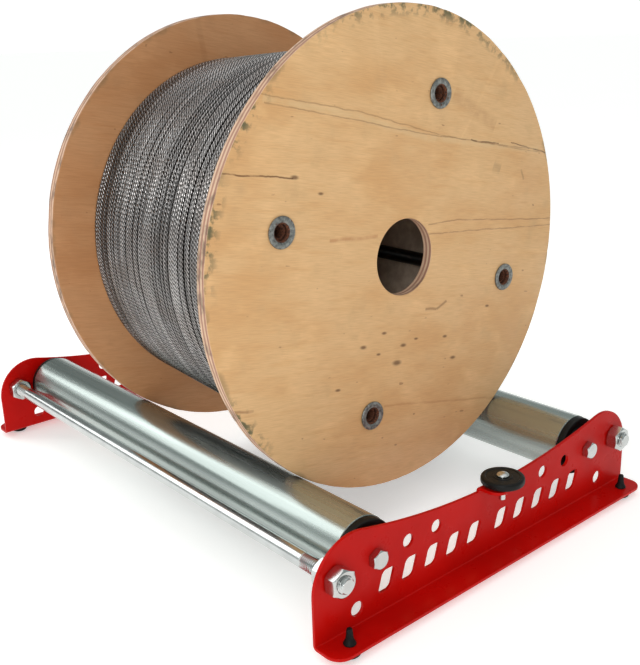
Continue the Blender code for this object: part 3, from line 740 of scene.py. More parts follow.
# Holes as (y, z, radius) in millimetres, each at both ends of a web, and (x, y, z, radius) for
# the feet and the guide wheel's screw
WEB_HOLES = [(141, 20, 5.4), (160.5, 52, 6.6), (123.1, 52, 4.6), (91.5, 52, 5), (62.5, 52, 5)]
LEVEL_HOLES = [(259.6, -159.5, 6.75, 3.4), (259.6, 159.5, 6.75, 3.4), (256.3, 0, 65.25, 3.0)]
WEB_X = 246.25 * MM             # middle of the web's thickness
CUT = 8 * MM                    # length of the cutters across the web
LEVEL_CUT = 4.8 * MM            # length of the cutters through the flange and the tab
# Two groups of leaning slots
SLOT_Z = 30.5 * MM
SLOT_WIDTH, SLOT_HEIGHT = 12 * MM, 16 * MM
SLOT_CORNER = 3.5 * MM
SLOT_LEAN = 5 / 16              # sideways over upwards
SLOT_STARTS = (-113 * MM, 11 * MM)
SLOT_STEP = 23 * MM
SLOTS = 5


def fold(bm, height, angle, reach, corner):
    """Bends the sheet outwards from the web's narrow face at this height."""
    face = next(f for f in bm.faces if all(abs(v.co.z - height) < MM / 100 for v in f.verts))
    outer = max(v.co.x for v in face.verts)
    bent = bmesh.ops.spin(bm, geom=[face, *face.edges, *face.verts],
                          cent=(outer + BEND_RADIUS, 0, height), axis=AXES["Y"], angle=angle,
                          steps=BEND_STEPS)
    grown = bmesh.ops.extrude_face_region(bm, geom=bent["geom_last"])["geom"]
    verts = [item for item in grown if isinstance(item, bmesh.types.BMVert)]
    bmesh.ops.translate(bm, vec=(reach - BEND_RADIUS, 0, 0), verts=verts)
    corners = [e for e in bm.edges if set(e.verts) <= set(verts)
               and abs(e.verts[0].co.y - e.verts[1].co.y) < MM / 10]
    bmesh.ops.bevel(bm, geom=corners, offset=corner, segments=CORNER_STEPS, profile=0.5,
                    affect="EDGES", material=-1)


def plate_blank(settings, side):
    """Folded sheet with round lobes, a hollow arch, a foot flange and a wheel tab."""
    low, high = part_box("near_side_plate")
    half = high.y
    web_outer = high.x - settings.flange
    lobe = settings.lobe
    fold_low = low.z + settings.sheet + BEND_RADIUS
    fold_high = TAB_TOP_Z - settings.sheet - BEND_RADIUS
    lobe_y = half - lobe
    rise = ARCH_Z - LOBE_Z
    arch = (lobe_y ** 2 + rise ** 2 - lobe ** 2) / (2 * (lobe - rise))
    arch_z = ARCH_Z + arch
    meet = math.atan2(arch_z - LOBE_Z, lobe_y)
    tab_angle = math.asin(TAB_HALF / arch)
    bm = bmesh.new()
    inner = web_outer - settings.sheet
    first = bm.verts.new((inner, -half, fold_low))
    start = bm.verts.new((inner, -half, LOBE_Z))
    bm.edges.new((first, start))
    top = swing(bm, start, (-lobe_y, LOBE_Z), meet - math.pi, LOBE_STEPS)
    arch_turn = math.pi / 2 - tab_angle - meet
    stop = swing(bm, top, (0, arch_z), arch_turn, ARCH_STEPS)
    left = bm.verts.new((inner, -TAB_HALF, fold_high))
    right = bm.verts.new((inner, TAB_HALF, fold_high))
    restart = bm.verts.new((inner, -stop.co.y, stop.co.z))
    for a, b in ((stop, left), (left, right), (right, restart)):
        bm.edges.new((a, b))
    top = swing(bm, restart, (0, arch_z), arch_turn, ARCH_STEPS)
    end = swing(bm, top, (lobe_y, LOBE_Z), meet - math.pi, LOBE_STEPS)
    last = bm.verts.new((inner, half, fold_low))
    bm.edges.new((end, last))
    bm.edges.new((last, first))
    web = bmesh.ops.contextual_create(bm, geom=bm.edges[:])["faces"]
    grown = bmesh.ops.extrude_face_region(bm, geom=web)["geom"]
    verts = [item for item in grown if isinstance(item, bmesh.types.BMVert)]
    bmesh.ops.translate(bm, vec=(settings.sheet, 0, 0), verts=verts)
    bmesh.ops.recalc_face_normals(bm, faces=bm.faces)
    fold(bm, fold_low, -math.pi / 2, settings.flange, FLANGE_CORNER)
    fold(bm, fold_high, math.pi / 2, TAB_REACH, TAB_CORNER)
    bmesh.ops.scale(bm, vec=(side, 1, 1), verts=bm.verts)
    return mesh_of("plate_blank", bm)


def slot_cutter(bm, middle_y, web_x):
    """A leaning slot with rounded corners."""
    made = bmesh.ops.create_cube(bm, size=1, matrix=Matrix.Translation((web_x, middle_y, SLOT_Z))
                                 @ Matrix.Diagonal((CUT, SLOT_WIDTH, SLOT_HEIGHT, 1)))
    long_edges = {e for v in made["verts"] for e in v.link_edges
                  if abs(e.verts[0].co.x - e.verts[1].co.x) > CUT / 2}
    bevelled = bmesh.ops.bevel(bm, geom=list(long_edges), offset=SLOT_CORNER, segments=8,
                               profile=0.5, affect="EDGES", material=-1)
    for vert in {v for f in bevelled["faces"] for v in f.verts}:
        vert.co.y += (vert.co.z - SLOT_Z) * SLOT_LEAN


def hole_cutter(bm, centre, radius, length, steps, turn):
    """A round plug that cuts one hole."""
    bmesh.ops.create_cone(bm, segments=steps, radius1=radius, radius2=radius, depth=length,
                          cap_ends=True, matrix=Matrix.Translation(centre) @ turn)


def plate_cutter(side):
    """Plugs for all the holes and slots of one side plate."""
    bm = bmesh.new()
    web_x = side * WEB_X
    for y, z, radius in WEB_HOLES:
        for end in (-1, 1):
            hole_cutter(bm, (web_x, end * y * MM, z * MM), radius * MM, CUT, 48, ON_SIDE)
    for x, y, z, radius in LEVEL_HOLES:
        hole_cutter(bm, (side * x * MM, y * MM, z * MM), radius * MM, LEVEL_CUT, 32,
                    Matrix.Identity(4))
    for start in SLOT_STARTS:
        for number in range(SLOTS):
            slot_cutter(bm, start + number * SLOT_STEP, web_x)
    return mesh_of("plate_holes", bm)


class STAND_OT_side_plates(bpy.types.Operator):
    """Builds both folded side plates, powder coated, with rounded edges"""
    bl_idname = "roller_stand.side_plates"
    bl_label = "Side plates"

    def execute(self, context):
        settings = context.scene.stand_plates
        coat = powder_coat(settings.coat)
        for end, side in ENDS:
            mesh = carved(end + "_plate", plate_blank(settings, side), plate_cutter(side))
            finish_piece(end + "_folded_plate", mesh, [coat], "stand",
                         [end + "_side_plate"], settings.edge)
        return {"FINISHED"}


# ---------------------------------------------------------------- hardware

THREAD_LENGTH = 43 * MM         # threaded ends of the tie rods
ROD_EASE = 1 * MM               # chamfer between the plain rod and its thread
NUT_BITE = 0.2 * MM             # how far a nut's bore lies inside the crests of its thread
HEX_EDGE = 0.2 * MM             # rounding of the edges of nuts and bolt heads
BOLT_HEAD, BOLT_SHANK, BOLT_LENGTH = 5.5 * MM, 4 * MM, 22 * MM


class STAND_OT_tie_rods(bpy.types.Operator):
    """Builds the tie rods with threaded ends, and the nuts on both sides of each plate"""
    bl_idname = "roller_stand.tie_rods"
    bl_label = "Tie rods and nuts"

    def execute(self, context):
        settings = context.scene.stand_hardware
        zinc = zinc_plate(settings.zinc)
        for row in ROWS:
            low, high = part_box(row + "_tie_rod")
            centre = middle(row + "_tie_rod")
            radius = (high.z - low.z) / 2
            shank = high.x - THREAD_LENGTH
            inner = shank - ROD_EASE
            plain = turned([(-shank, 0), (-shank, radius - ROD_EASE), (-inner, radius),
                            (inner, radius), (shank, radius - ROD_EASE), (shank, 0)], "X", 64)
            ends = [along_axis(thread(inner, high.x, radius, settings.pitch), side, (0, 0, 0))
                    for _, side in ENDS]
            rod = joined([plain] + ends)
            bmesh.ops.translate(rod, vec=centre, verts=rod.verts)
            finish_piece(row + "_threaded_rod", mesh_of("threaded_rod", rod), [zinc], "stand",
                         [row + "_tie_rod"])
            for end, side in ENDS:
                for place in ("outer", "inner"):
                    node = f"{row}_{end}_{place}_nut"
                    height = across(node, "x")
                    start = middle(node) - Vector((side * height / 2, 0, 0))
                    body = along_axis(nut(settings.nut_flats, height, radius - NUT_BITE), side,
                                      start)
                    finish_piece(f"{row}_{end}_{place}_hex_nut", mesh_of("hex_nut", body), [zinc],
                                 "stand", [node], HEX_EDGE)
        return {"FINISHED"}


class STAND_OT_roller_bolts(bpy.types.Operator):
    """Builds the hexagon bolts that hold the rollers' axles"""
    bl_idname = "roller_stand.roller_bolts"
    bl_label = "Roller bolts"

    def execute(self, context):
        settings = context.scene.stand_hardware
        zinc = bpy.data.materials["zinc_plated_steel_bright"]
        for row in ROWS:
            for end, side in ENDS:
                node = f"{row}_{end}_roller_bolt"
                low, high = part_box(node)
                outer = high.x if side > 0 else low.x
                seat = Vector((outer - side * BOLT_HEAD, middle(node).y, middle(node).z))
                body = along_axis(bolt(settings.bolt_flats, BOLT_HEAD, BOLT_SHANK, BOLT_LENGTH),
                                  side, seat)
                finish_piece(f"{row}_{end}_hex_bolt", mesh_of("hex_bolt", body), [zinc], "stand",
                             [node], HEX_EDGE)
        return {"FINISHED"}


# ---------------------------------------------------------------- rollers

TUBE_WALL = 1.6 * MM
TUBE_LIP = 0.4 * MM             # chamfer of the tube's ends
# An end cap's section, as (distance beyond the tube's end, radius) in millimetres: its rim, a
# groove in its face, the bearing's seat and the sleeve inside the tube
CAP_PROFILE = [(0.3, 24.4), (5, 24.4), (5.7, 24.1), (6, 23.4), (6, 20), (5.2, 19.6), (5.2, 17.6),
               (6, 17.2), (6, 16.3), (-5.6, 16.3), (-5.6, 8), (-16, 8), (-16, 23.1), (0.3, 23.1)]


class STAND_OT_rollers(bpy.types.Operator):
    """Builds the roller tubes and end caps, and finishes their axles and bearings"""
    bl_idname = "roller_stand.rollers"
    bl_label = "Rollers"

    def execute(self, context):
        settings = context.scene.stand_rollers
        steel = galvanised_tube(settings.tube)
        plastic = moulded_black("moulded_polypropylene_black", settings.plastic, 0.9 * MM, 0.42)
        bar = bright_steel("drawn_steel_bar", "A6A8A8", 0.3)
        ground = bright_steel("ground_bearing_steel", "9A9B9C", 0.16)
        for row in ROWS:
            body = row + "_roller"
            tube_node = row + "_roller_tube"
            centre = middle(tube_node)
            half = across(tube_node, "x") / 2
            radius = across(tube_node, "z") / 2
            bore, lip = radius - TUBE_WALL, radius - TUBE_LIP
            profile = [(-half, bore), (-half, lip), (-half + TUBE_LIP, radius),
                       (half - TUBE_LIP, radius), (half, lip), (half, bore)]
            tube = turned(profile, "X", 128, centre)
            finish_piece(row + "_tube", mesh_of("tube", tube), [steel], body,
                         [tube_node])
            for end, side in ENDS:
                node = f"{row}_{end}_end_cap"
                shape = along_axis(turned(in_metres(CAP_PROFILE), "X", 96), side,
                                   centre + Vector((side * half, 0, 0)))
                finish_piece(f"{row}_{end}_cap", mesh_of("cap", shape), [plastic], body,
                             [node])
                for ring in ("inner", "outer"):
                    restore(f"{row}_{end}_bearing_{ring}", ground)
            restore(row + "_roller_axle", bar)
        return {"FINISHED"}


# ---------------------------------------------------------------- guide wheels and feet

WHEEL_BORE = 2.9 * MM
# Radii of the shallow ring sunk into a wheel's face, from outside inwards, and its depth
SUNK_RING = (13.2 * MM, 12.6 * MM, 7.4 * MM, 6.8 * MM)
SINK = 0.5 * MM
WHEEL_GAP = 0.3 * MM            # between the wheel and its screw's head
SCREW_HEAD, SCREW_SHANK = 4.75 * MM, 2.5 * MM       # radii
SCREW_EASE = 0.4 * MM
DOME_BASE = 0.5 * MM            # upright edge under the screw's dome
WASHER_BORE, WASHER_RADIUS = 2.8 * MM, 5 * MM
SMALL_NUT_FLATS, SMALL_NUT_BORE = 8 * MM, 2.55 * MM
# A foot's section, as (height, radius) in millimetres: its pad, the neck in the flange, the barb
# above it and the tail that it is pulled in by
FOOT_PROFILE = [(0, 0), (0, 5.5), (0.5, 6.4), (1.5, 7.4), (2.2, 7.5), (3, 7.4), (5.2, 6.5),
                (5.2, 3.0), (8.3, 3.0), (8.3, 4.3), (8.8, 4.5), (9.6, 4.2), (11.5, 3.1),
                (13.5, 2.6), (19.2, 2.1), (19.8, 1.8), (20, 1.3), (20, 0)]


def quarter(steps):
    """Angles from 0 to a right angle."""
    return [math.pi / 2 * step / steps for step in range(steps + 1)]


class STAND_OT_guide_wheels(bpy.types.Operator):
    """Builds the guide wheels with their screws, washers and nuts"""
    bl_idname = "roller_stand.guide_wheels"
    bl_label = "Guide wheels"

    def execute(self, context):
        settings = context.scene.stand_rollers
        zinc = bpy.data.materials["zinc_plated_steel_bright"]
        nylon = moulded_black("moulded_nylon_black", settings.plastic, 1.1 * MM, 0.38)
        for end, side in ENDS:
            node = end + "_guide_wheel"
            low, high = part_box(node)
            centre = middle(node)
            edge = settings.wheel_rim
            rim = (high.x - low.x) / 2
            width = high.z - low.z
            lower = [(edge - edge * math.cos(a), rim - edge + edge * math.sin(a))
                     for a in quarter(6)]
            upper = [(width - along, out) for along, out in reversed(lower)]
            top = list(zip((width, width - SINK, width - SINK, width), SUNK_RING))
            profile = [(0, WHEEL_BORE)] + lower + upper + top + [(width, WHEEL_BORE)]
            wheel = turned(profile, "Z", 96, (centre.x, centre.y, low.z))
            finish_piece(end + "_wheel", mesh_of("wheel", wheel), [nylon], end + "_wheel",
                         [node])
            bottom, crown = (corner.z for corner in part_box(end + "_wheel_screw"))
            seat = high.z + WHEEL_GAP - bottom
            rise = crown - bottom - seat - DOME_BASE
            dome = [(seat + DOME_BASE + rise * math.sin(a), SCREW_HEAD * math.cos(a))
                    for a in quarter(10)]
            dome[-1] = (dome[-1][0], 0)
            shank = [(0, 0), (0, SCREW_SHANK - SCREW_EASE), (SCREW_EASE, SCREW_SHANK),
                     (seat, SCREW_SHANK), (seat, SCREW_HEAD)]
            screw = turned(shank + dome, "Z", 48, (centre.x, centre.y, bottom))
            finish_piece(end + "_domed_screw", mesh_of("domed_screw", screw), [zinc], "stand",
                         [end + "_wheel_screw"])
            thin = across(end + "_wheel_washer", "z")
            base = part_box(end + "_wheel_washer")[0].z
            washer = turned([(0, WASHER_BORE), (0, WASHER_RADIUS), (thin, WASHER_RADIUS),
                             (thin, WASHER_BORE)], "Z", 48, (centre.x, centre.y, base))
            finish_piece(end + "_flat_washer", mesh_of("flat_washer", washer), [zinc], "stand",
                         [end + "_wheel_washer"])
            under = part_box(end + "_wheel_nut")[0].z
            small = nut(SMALL_NUT_FLATS, across(end + "_wheel_nut", "z"), SMALL_NUT_BORE, "Z")
            bmesh.ops.translate(small, vec=(centre.x, centre.y, under), verts=small.verts)
            finish_piece(end + "_hex_nut", mesh_of("small_nut", small), [zinc], "stand",
                         [end + "_wheel_nut"], 0.1 * MM)
        return {"FINISHED"}


class STAND_OT_feet(bpy.types.Operator):
    """Builds the push-in rubber feet"""
    bl_idname = "roller_stand.feet"
    bl_label = "Rubber feet"

    def execute(self, context):
        rubber = moulded_black("moulded_rubber_black", linear("0E0E0E"), 0.7 * MM, 0.6)
        for row in ROWS:
            for end, _ in ENDS:
                node = f"{row}_{end}_foot"
                centre = middle(node)
                foot = turned(in_metres(FOOT_PROFILE), "Z", 48, (centre.x, centre.y, 0))
                finish_piece(f"{row}_{end}_rubber_foot", mesh_of("rubber_foot", foot), [rubber],
                             "stand", [node])
        return {"FINISHED"}


# ---------------------------------------------------------------- reel

BUSH_HOLE = 8.4 * MM            # radius of the boards' holes for the bushes


def bolt_places():
    """Centre of each reel bolt."""
    return [middle(f"reel_bolt_{number}") for number in range(1, 5)]


def rim_noise(point, along, round_rim, shift):
    """Noise over a board's rim, with this many waves a metre along its edge and round it."""
    return noise.noise(Vector((point.x * along, point.y * round_rim, point.z * round_rim)) + shift)


def reel_board(name, start_x, dents):
    """Plywood disc with a slightly worn and dented rim, its bore and its bolt holes."""
    soft = 0.9 * MM         # wear of the rim's corners
    bore = 30 * MM
    ease = 0.6 * MM         # chamfer of the bore
    rim = [(0, bore + ease), (0, REEL_RADIUS - soft), (soft * 0.3, REEL_RADIUS - soft * 0.3),
           (soft, REEL_RADIUS)]
    rim += [(BOARD * k / 6, REEL_RADIUS) for k in range(2, 5)]
    rim += [(BOARD - along, out) for along, out in reversed(rim[:4])]
    rim += [(BOARD - ease, bore), (ease, bore)]
    bm = turned(rim, "X", 360)
    for vert in bm.verts:
        out = math.hypot(vert.co.y, vert.co.z)
        if out < REEL_RADIUS - 2 * soft:
            continue
        # broad wear, other on each board, with small deep dents in it
        broad = rim_noise(vert.co, 60, 35, Vector((start_x * 90, 0, 0)))
        fine = rim_noise(vert.co, 300, 170, Vector())
        depth = dents * (0.35 + 0.9 * max(0, broad) + 0.8 * max(0, fine) ** 2)
        vert.co.y *= 1 - depth / out
        vert.co.z *= 1 - depth / out
    bmesh.ops.translate(bm, vec=(start_x, REEL_CENTRE.y, REEL_CENTRE.z), verts=bm.verts)
    cutter = bmesh.new()
    for place in bolt_places():
        hole_cutter(cutter, (start_x + BOARD / 2, place.y, place.z), BUSH_HOLE, BOARD * 3, 48,
                    ON_SIDE)
    return carved(name, mesh_of(name, bm), mesh_of("bolt_holes", cutter))


class REEL_OT_boards(bpy.types.Operator):
    """Builds the two plywood flange boards of the reel"""
    bl_idname = "roller_stand.reel_boards"
    bl_label = "Reel boards"

    def execute(self, context):
        settings = context.scene.stand_reel
        tint = tuple(settings.veneer)
        near = plywood("rotary_cut_plywood_near", NEAR_FACE_X, -1, tint, True)
        # painted shade: the far board is the same plywood with its tint darkened and warmed, to
        # stand for the shade on its inner face between the rope and the near board
        far_shaded_tint = (tint[0] * 0.76, tint[1] * 0.61, tint[2] * 0.57)
        far = plywood("rotary_cut_plywood_far_shaded", FAR_FACE_X, 1, far_shaded_tint, False)
        for end, start, wood in (("near", NEAR_FACE_X - BOARD, near), ("far", FAR_FACE_X, far)):
            mesh = reel_board(end + "_board", start, settings.dents)
            finish_piece(end + "_plywood_board", mesh, [wood], "reel",
                         [end + "_reel_flange"])
        return {"FINISHED"}


BARREL_WALL = 3.5 * MM
# How the rope lies: shares are of a turn's spacing unless a comment says otherwise
END_GAP = 0.2 * MM              # between the last turns and the boards
SPACING_WOBBLE = 0.04
LOOSE_GAP = 0.42                # extra room beside some turns
LOOSE_ABOVE = 0.40              # turns whose scatter is above this have it
SINK_ABOVE, SINK_DEPTH = 0.35, 0.9 * MM     # turns that sank between their neighbours
FIRST_ANGLE = math.radians(-35)             # where each turn starts, at the lower back
CROSSING = 0.20                 # last share of a turn, in which the rope steps across
SWAY, SWAY_WAVE = 0.45 * MM, 55             # sideways sway, and its change of phase a metre
STRANDS = 6
GROOVE = 0.66                   # radius of the grooves between strands over that of the crowns
RINGS_A_TURN = 480
ROPE_PIECES = 5
CORE_DEPTH = 1.55               # top of the lower layers below the outside, in rope radii
CORE_ROWS = 24
CORE_GAP = 0.3 * MM             # between the lowest layer and the barrel


class REEL_OT_barrel(bpy.types.Operator):
    """Builds the reel's bent barrel"""
    bl_idname = "roller_stand.reel_barrel"
    bl_label = "Reel barrel"

    def execute(self, context):
        low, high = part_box("reel_barrel")
        outer = (high.z - low.z) / 2
        inner = outer - BARREL_WALL
        barrel = turned([(low.x, inner), (low.x, outer), (high.x, outer), (high.x, inner)],
                        "X", 180, (0, REEL_CENTRE.y, REEL_CENTRE.z))
        finish_piece("bent_barrel", mesh_of("bent_barrel", barrel), [fibreboard()], "reel",
                     ["reel_barrel"])
        return {"FINISHED"}


def pack_radius(x):
    """Outside radius of the wound rope, which is built up higher towards the near board."""
    share = (x - PACK_START_X) / (PACK_END_X - PACK_START_X)
    return PACK_FAR_RADIUS + (PACK_NEAR_RADIUS - PACK_FAR_RADIUS) * share


def scatter(index, seed):
    """A steady pseudo-random value from -1 to 1."""
    return math.sin(index * 12.9898 + seed * 78.233) * 43758.5453 % 2 - 1


def turn_places(turns, radius):
    """Where each turn lies along X, and how far it has sunk between its neighbours."""
    first = PACK_START_X + radius + END_GAP
    last = PACK_END_X - radius - END_GAP
    steps = [1 + SPACING_WOBBLE * scatter(k, 1) + (LOOSE_GAP if scatter(k, 2) > LOOSE_ABOVE else 0)
             for k in range(turns)]
    total = sum(steps)
    places = [first]
    for step in steps:
        places.append(places[-1] + step * (last - first) / total)
    sunk = [max(0, scatter(k, 3) - SINK_ABOVE) * SINK_DEPTH for k in range(turns + 1)]
    return places, sunk


def rope_point(turn, places, sunk, radius, turns):
    """The rope's centre and its radius from the axis, at this many turns."""
    whole = min(int(turn), turns - 1)
    part = turn - whole
    step = max(0, (part - 1 + CROSSING) / CROSSING)
    step = step * step * (3 - 2 * step)
    x = places[whole] + (places[whole + 1] - places[whole]) * step
    drop = sunk[whole] + (sunk[whole + 1] - sunk[whole]) * step
    angle = FIRST_ANGLE + part * math.tau
    sway = SWAY * math.sin(angle * 2 + x * SWAY_WAVE) * math.sin(math.pi * turn / turns)
    out = pack_radius(x) - radius - drop
    return (x + sway, REEL_CENTRE.y + out * math.cos(angle), REEL_CENTRE.z + out * math.sin(angle),
            out)


def strand_profile(radius):
    """The strands' crowns and grooves as a closed curve, to sweep along the rope."""
    data = bpy.data.curves.new("strand_section", "CURVE")
    data.dimensions = "2D"
    line = data.splines.new("POLY")
    line.points.add(2 * STRANDS - 1)
    line.use_cyclic_u = True
    for index, point in enumerate(line.points):
        out = radius * (GROOVE if index % 2 else 1)
        angle = math.pi * index / STRANDS
        point.co = (out * math.cos(angle), out * math.sin(angle), 0, 1)
    return object_of("strand_section", data)


def wound_piece(name, first, last, settings, places, sunk, section):
    """The turns of rope from first to last as one mesh, with how far each point lies in a groove
    and how deep it is buried, in rope radii, as attributes."""
    count = (last - first) * RINGS_A_TURN + 1
    coordinates, tilts = [], []
    travelled = 0.0
    for index in range(count):
        turn = first + index / RINGS_A_TURN
        x, y, z, out = rope_point(turn, places, sunk, settings.rope_radius, settings.turns)
        coordinates += [x, y, z, 1]
        tilts.append(-math.tau * travelled / settings.lay)
        travelled += out * math.tau / RINGS_A_TURN
    data = bpy.data.curves.new(name, "CURVE")
    data.dimensions = "3D"
    data.bevel_mode = "OBJECT"
    data.bevel_object = section
    data.use_fill_caps = True
    line = data.splines.new("POLY")
    line.points.add(count - 1)
    line.points.foreach_set("co", coordinates)
    line.points.foreach_set("tilt", tilts)
    curve = object_of(name, data)
    bpy.context.view_layer.update()
    mesh = bpy.data.meshes.new_from_object(curve.evaluated_get(
        bpy.context.evaluated_depsgraph_get()))
    bpy.data.objects.remove(curve, do_unlink=True)
    # groove and buried are the masks for the rope's painted shade in its grooves and between its
    # turns
    groove = mesh.attributes.new("groove", "FLOAT", "POINT")
    buried = mesh.attributes.new("buried", "FLOAT", "POINT")
    for vert in mesh.vertices:
        off = math.hypot(vert.co.y - REEL_CENTRE.y, vert.co.z - REEL_CENTRE.z)
        groove.data[vert.index].value = vert.index % 2
        buried.data[vert.index].value = (pack_radius(vert.co.x) - off) / settings.rope_radius
    bm = bmesh.new()
    bm.from_mesh(mesh)
    bpy.data.meshes.remove(mesh)
    bmesh.ops.remove_doubles(bm, verts=bm.verts, dist=MM / 1000)
    bmesh.ops.recalc_face_normals(bm, faces=bm.faces)
    result = bpy.data.meshes.new(name)
    bm.to_mesh(result)
    bm.free()
    result.shade_smooth()
    return result


class REEL_OT_rope(bpy.types.Operator):
    """Winds the outer layer of wire rope turn by turn over the layers below, which are painted dark
    as shade
    """
    bl_idname = "roller_stand.rope"
    bl_label = "Wound wire rope"

    def execute(self, context):
        settings = context.scene.stand_reel
        steel = wire_rope(settings.rope)
        places, sunk = turn_places(settings.turns, settings.rope_radius)
        section = strand_profile(settings.rope_radius)
        ends = [round(settings.turns * k / ROPE_PIECES) for k in range(ROPE_PIECES + 1)]
        for number, (first, last) in enumerate(zip(ends, ends[1:]), 1):
            name = f"rope_turns_{number}"
            mesh = wound_piece(name, first, last, settings, places, sunk, section)
            finish_piece(name, mesh, [steel], "reel", ["wire_rope_pack"])
        bpy.data.objects.remove(section, do_unlink=True)
        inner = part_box("reel_barrel")[1].z - REEL_CENTRE.z + CORE_GAP
        under = settings.rope_radius * CORE_DEPTH
        outside = []
        for row in range(CORE_ROWS + 1):
            x = PACK_START_X + (PACK_END_X - PACK_START_X) * row / CORE_ROWS
            outside.append((x, pack_radius(x) - under))
        core = turned([(PACK_START_X, inner)] + outside + [(PACK_END_X, inner)], "X", 180,
                      (0, REEL_CENTRE.y, REEL_CENTRE.z))
        finish_piece("rope_lower_layers", mesh_of("rope_lower_layers", core), [lower_layers_in_shade()],
                     "reel", ["wire_rope_pack"])
        return {"FINISHED"}


CUP_DEPTH, CUP_RADIUS = 9 * MM, 3.8 * MM    # hollow in each end of a through bar
CUP_FLARE = 0.6 * MM
BAR_EASE = 0.5 * MM
BUSH_FLANGE = 1.5 * MM
BUSH_BORE, BUSH_BODY = 6.8 * MM, 8 * MM     # radii of a bush inside the board
# A bush's flange and the throat rolled in from it, as (distance from the board, radius) in
# millimetres
BUSH_LIP = [(0, 8.0), (0, 11.3), (0.3, 11.5), (0.9, 11.5), (1.3, 11.2), (1.5, 10.6), (1.5, 8.9),
            (1.3, 8.0), (0.8, 7.0), (0.1, 6.2), (-0.7, 5.8), (-1.5, 5.8), (-1.5, 6.6), (-2.2, 6.8)]
BAR_RUST_DEPTH = 10 * MM        # the bars are rusty this far in from their ends
BUSH_RUST_RADIUS = 7.3 * MM     # and the bushes inside this radius


class REEL_OT_bolts(bpy.types.Operator):
    """Builds the reel's through bars and the flanged bushes that they end in"""
    bl_idname = "roller_stand.reel_bolts"
    bl_label = "Reel bars and bushes"

    def execute(self, context):
        bar = black_bar()
        rust = rusty_steel("rusted_steel", 1.0)
        dull = rusty_steel("weathered_zinc_bush", 0.1)
        for number, place in enumerate(bolt_places(), 1):
            node = f"reel_bolt_{number}"
            low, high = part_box(node)
            radius = (high.z - low.z) / 2
            profile = [(low.x + CUP_DEPTH, 0), (low.x + CUP_DEPTH, CUP_RADIUS),
                       (low.x, CUP_RADIUS + CUP_FLARE), (low.x, radius - BAR_EASE),
                       (low.x + BAR_EASE, radius)]
            profile += [(low.x + high.x - along, out) for along, out in reversed(profile)]
            shaft = turned(profile, "X", 40, (0, place.y, place.z))
            mesh = mesh_of("through_bar", shaft)
            mesh.materials.append(bar)
            for face in mesh.polygons:
                deep = min(face.center.x - low.x, high.x - face.center.x)
                face.material_index = 1 if deep < BAR_RUST_DEPTH else 0
            finish_piece(f"through_bar_{number}", mesh, [rust], "reel", [node])
            for end, side in ENDS:
                bush_node = f"{end}_reel_ferrule_{number}"
                low_b, high_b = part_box(bush_node)
                outer = high_b.x if side > 0 else low_b.x
                seat = Vector((outer - side * BUSH_FLANGE, place.y, place.z))
                shape = [(-BOARD, BUSH_BORE), (-BOARD, BUSH_BODY)] + in_metres(BUSH_LIP)
                bush = along_axis(turned(shape, "X", 64), side, seat)
                mesh = mesh_of("flanged_bush", bush)
                mesh.materials.append(dull)
                for face in mesh.polygons:
                    from_axis = math.hypot(face.center.y - place.y, face.center.z - place.z)
                    face.material_index = 1 if from_axis < BUSH_RUST_RADIUS else 0
                finish_piece(f"{end}_flanged_bush_{number}", mesh, [rust], "reel",
                             [bush_node])
        return {"FINISHED"}


# ---------------------------------------------------------------- stage

FLOOR_RADIUS = 60
LIT_POINT = Vector((0, 0, 0.2))
# Each light's place, size and power over that of the key light
LIGHTS = {"key": ((1.35, -1.65, 1.0), (0.8, 0.8), 1.0),
          "side": ((-1.39, -0.92, 1.28), (1.1, 1.3), 0.75)}
VIEW_ANGLES = (49.686, 17.622, -1.845)      # azimuth from the front, elevation and roll
VIEW_TARGET = Vector((0.0516, 0, 0.1400))
VIEW_DISTANCE = 0.8211
SENSOR_WIDTH = 36
CLIP_START, CLIP_END = 0.02, 200


def soft_light(name, location, size, power):
    """A rectangular light that faces the stand."""
    data = bpy.data.lights.new(name, "AREA")
    data.shape = "RECTANGLE"
    data.size, data.size_y = size
    data.energy = power
    light = object_of(name, data)
    light.location = location
    light.rotation_euler = (LIT_POINT - Vector(location)).to_track_quat("-Z", "Y").to_euler()


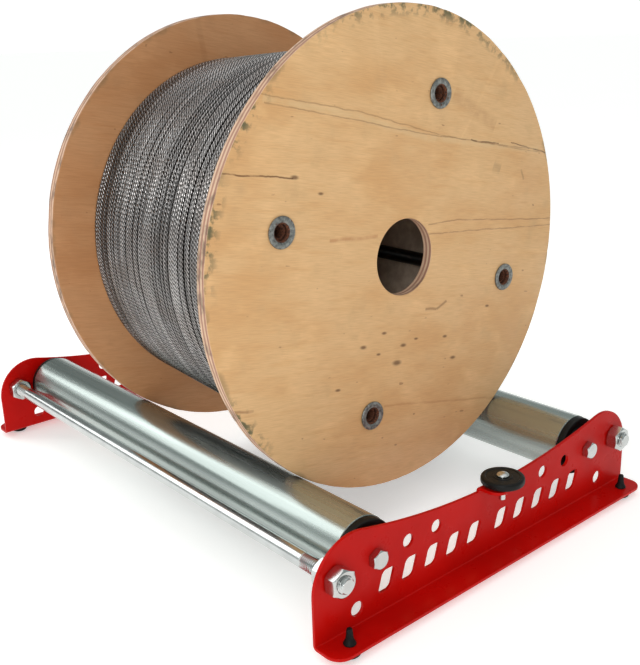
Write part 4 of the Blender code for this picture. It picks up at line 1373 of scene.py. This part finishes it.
class STAND_OT_stage(bpy.types.Operator):
    """Makes the floor, the soft lights, the studio surroundings and the camera"""
    bl_idname = "roller_stand.stage"
    bl_label = "Stage"

    def execute(self, context):
        settings = context.scene.stand_studio
        bm = bmesh.new()
        bmesh.ops.create_circle(bm, cap_ends=True, segments=96, radius=FLOOR_RADIUS)
        floor = object_of("floor", mesh_of("floor", bm))
        made, tree, shader, spot = start_material("seamless_paper", 0.0, 0.9, settings.floor)
        cloud = patches(tree, spot, 0.4, 0.3, 0.7)
        finished(tree, shader, layered(tree, cloud, settings.floor, "EFEFEC", 0.2))
        shader.inputs["Emission Color"].default_value = (1, 1, 1, 1)
        shader.inputs["Emission Strength"].default_value = settings.glow
        floor.data.materials.append(made)
        for name, (location, size, share) in LIGHTS.items():
            soft_light(name, location, size, settings.key * share)
        world = bpy.data.worlds.new("studio")
        context.scene.world = world
        world.use_nodes = True
        tree = world.node_tree
        direction = add_node(tree, "TexCoord", {}, "Generated")
        across, _, height = add_node(tree, "SeparateXYZ", {0: direction}).node.outputs
        # white at the horizon, greyer above it, darkest beyond the stand's far end, and white
        # overhead like a lit ceiling
        low = add_node(tree, "MapRange", {0: height, 1: 0.07, 2: 0.20},
                       interpolation_type="SMOOTHSTEP")
        high = add_node(tree, "MapRange", {0: height, 1: 0.55, 2: 0.95},
                        interpolation_type="SMOOTHSTEP")
        beyond = add_node(tree, "MapRange", {0: across, 1: -0.74, 2: -0.92},
                          interpolation_type="SMOOTHSTEP")
        wall = layered(tree, beyond, "A2A9A7", "565C5A")
        sky = layered(tree, high, layered(tree, low, "FFFFFF", wall), "FFFFFF")
        background = tree.nodes["Background"]
        tree.links.new(sky, background.inputs["Color"])
        background.inputs["Strength"].default_value = settings.sky
        context.scene.view_settings.view_transform = "Standard"
        azimuth, elevation, roll = (math.radians(angle) for angle in VIEW_ANGLES)
        back = Vector((math.sin(azimuth) * math.cos(elevation),
                       -math.cos(azimuth) * math.cos(elevation), math.sin(elevation)))
        right = (-back).cross(AXES["Z"]).normalized()
        up = right.cross(-back)
        turned_right = right * math.cos(roll) + up * math.sin(roll)
        turned_up = up * math.cos(roll) - right * math.sin(roll)
        data = bpy.data.cameras.new("view")
        data.lens = settings.lens
        data.sensor_width = SENSOR_WIDTH
        data.clip_start, data.clip_end = CLIP_START, CLIP_END
        camera = object_of("view", data)
        camera.matrix_world = Matrix.Translation(VIEW_TARGET + back * VIEW_DISTANCE) @ Matrix(
            (turned_right, turned_up, back)).transposed().to_4x4()
        context.scene.camera = camera
        return {"FINISHED"}


class STAND_PT_panel(bpy.types.Panel):
    """Buttons for each piece of the roller stand"""
    bl_idname = "STAND_PT_panel"
    bl_label = "Roller Stand"
    bl_space_type = "VIEW_3D"
    bl_region_type = "UI"
    bl_category = "Roller Stand"

    def draw(self, context):
        for name in GROUPS:
            box = self.layout.box()
            for key in GROUPS[name].__annotations__:
                box.prop(getattr(context.scene, name), key)
        for operator in OPERATORS:
            self.layout.operator(operator.bl_idname)


GROUPS = {"stand_plates": PlateSettings, "stand_hardware": HardwareSettings,
          "stand_rollers": RollerSettings, "stand_reel": ReelSettings,
          "stand_studio": StudioSettings}
OPERATORS = (STAND_OT_stage, STAND_OT_side_plates, STAND_OT_tie_rods, STAND_OT_roller_bolts,
             STAND_OT_rollers, STAND_OT_guide_wheels, STAND_OT_feet, REEL_OT_boards,
             REEL_OT_barrel, REEL_OT_rope, REEL_OT_bolts)


def register():
    for made in (*GROUPS.values(), *OPERATORS, STAND_PT_panel):
        bpy.utils.register_class(made)
    for name, group in GROUPS.items():
        setattr(bpy.types.Scene, name, bpy.props.PointerProperty(type=group))


def unregister():
    for name in GROUPS:
        delattr(bpy.types.Scene, name)
    for made in reversed((*GROUPS.values(), *OPERATORS, STAND_PT_panel)):
        bpy.utils.unregister_class(made)


def main():
    register()
    for operator in OPERATORS:
        group, name = operator.bl_idname.split(".")
        getattr(getattr(bpy.ops, group), name)()
    bpy.context.view_layer.update()


if __name__ == "__main__":
    main()
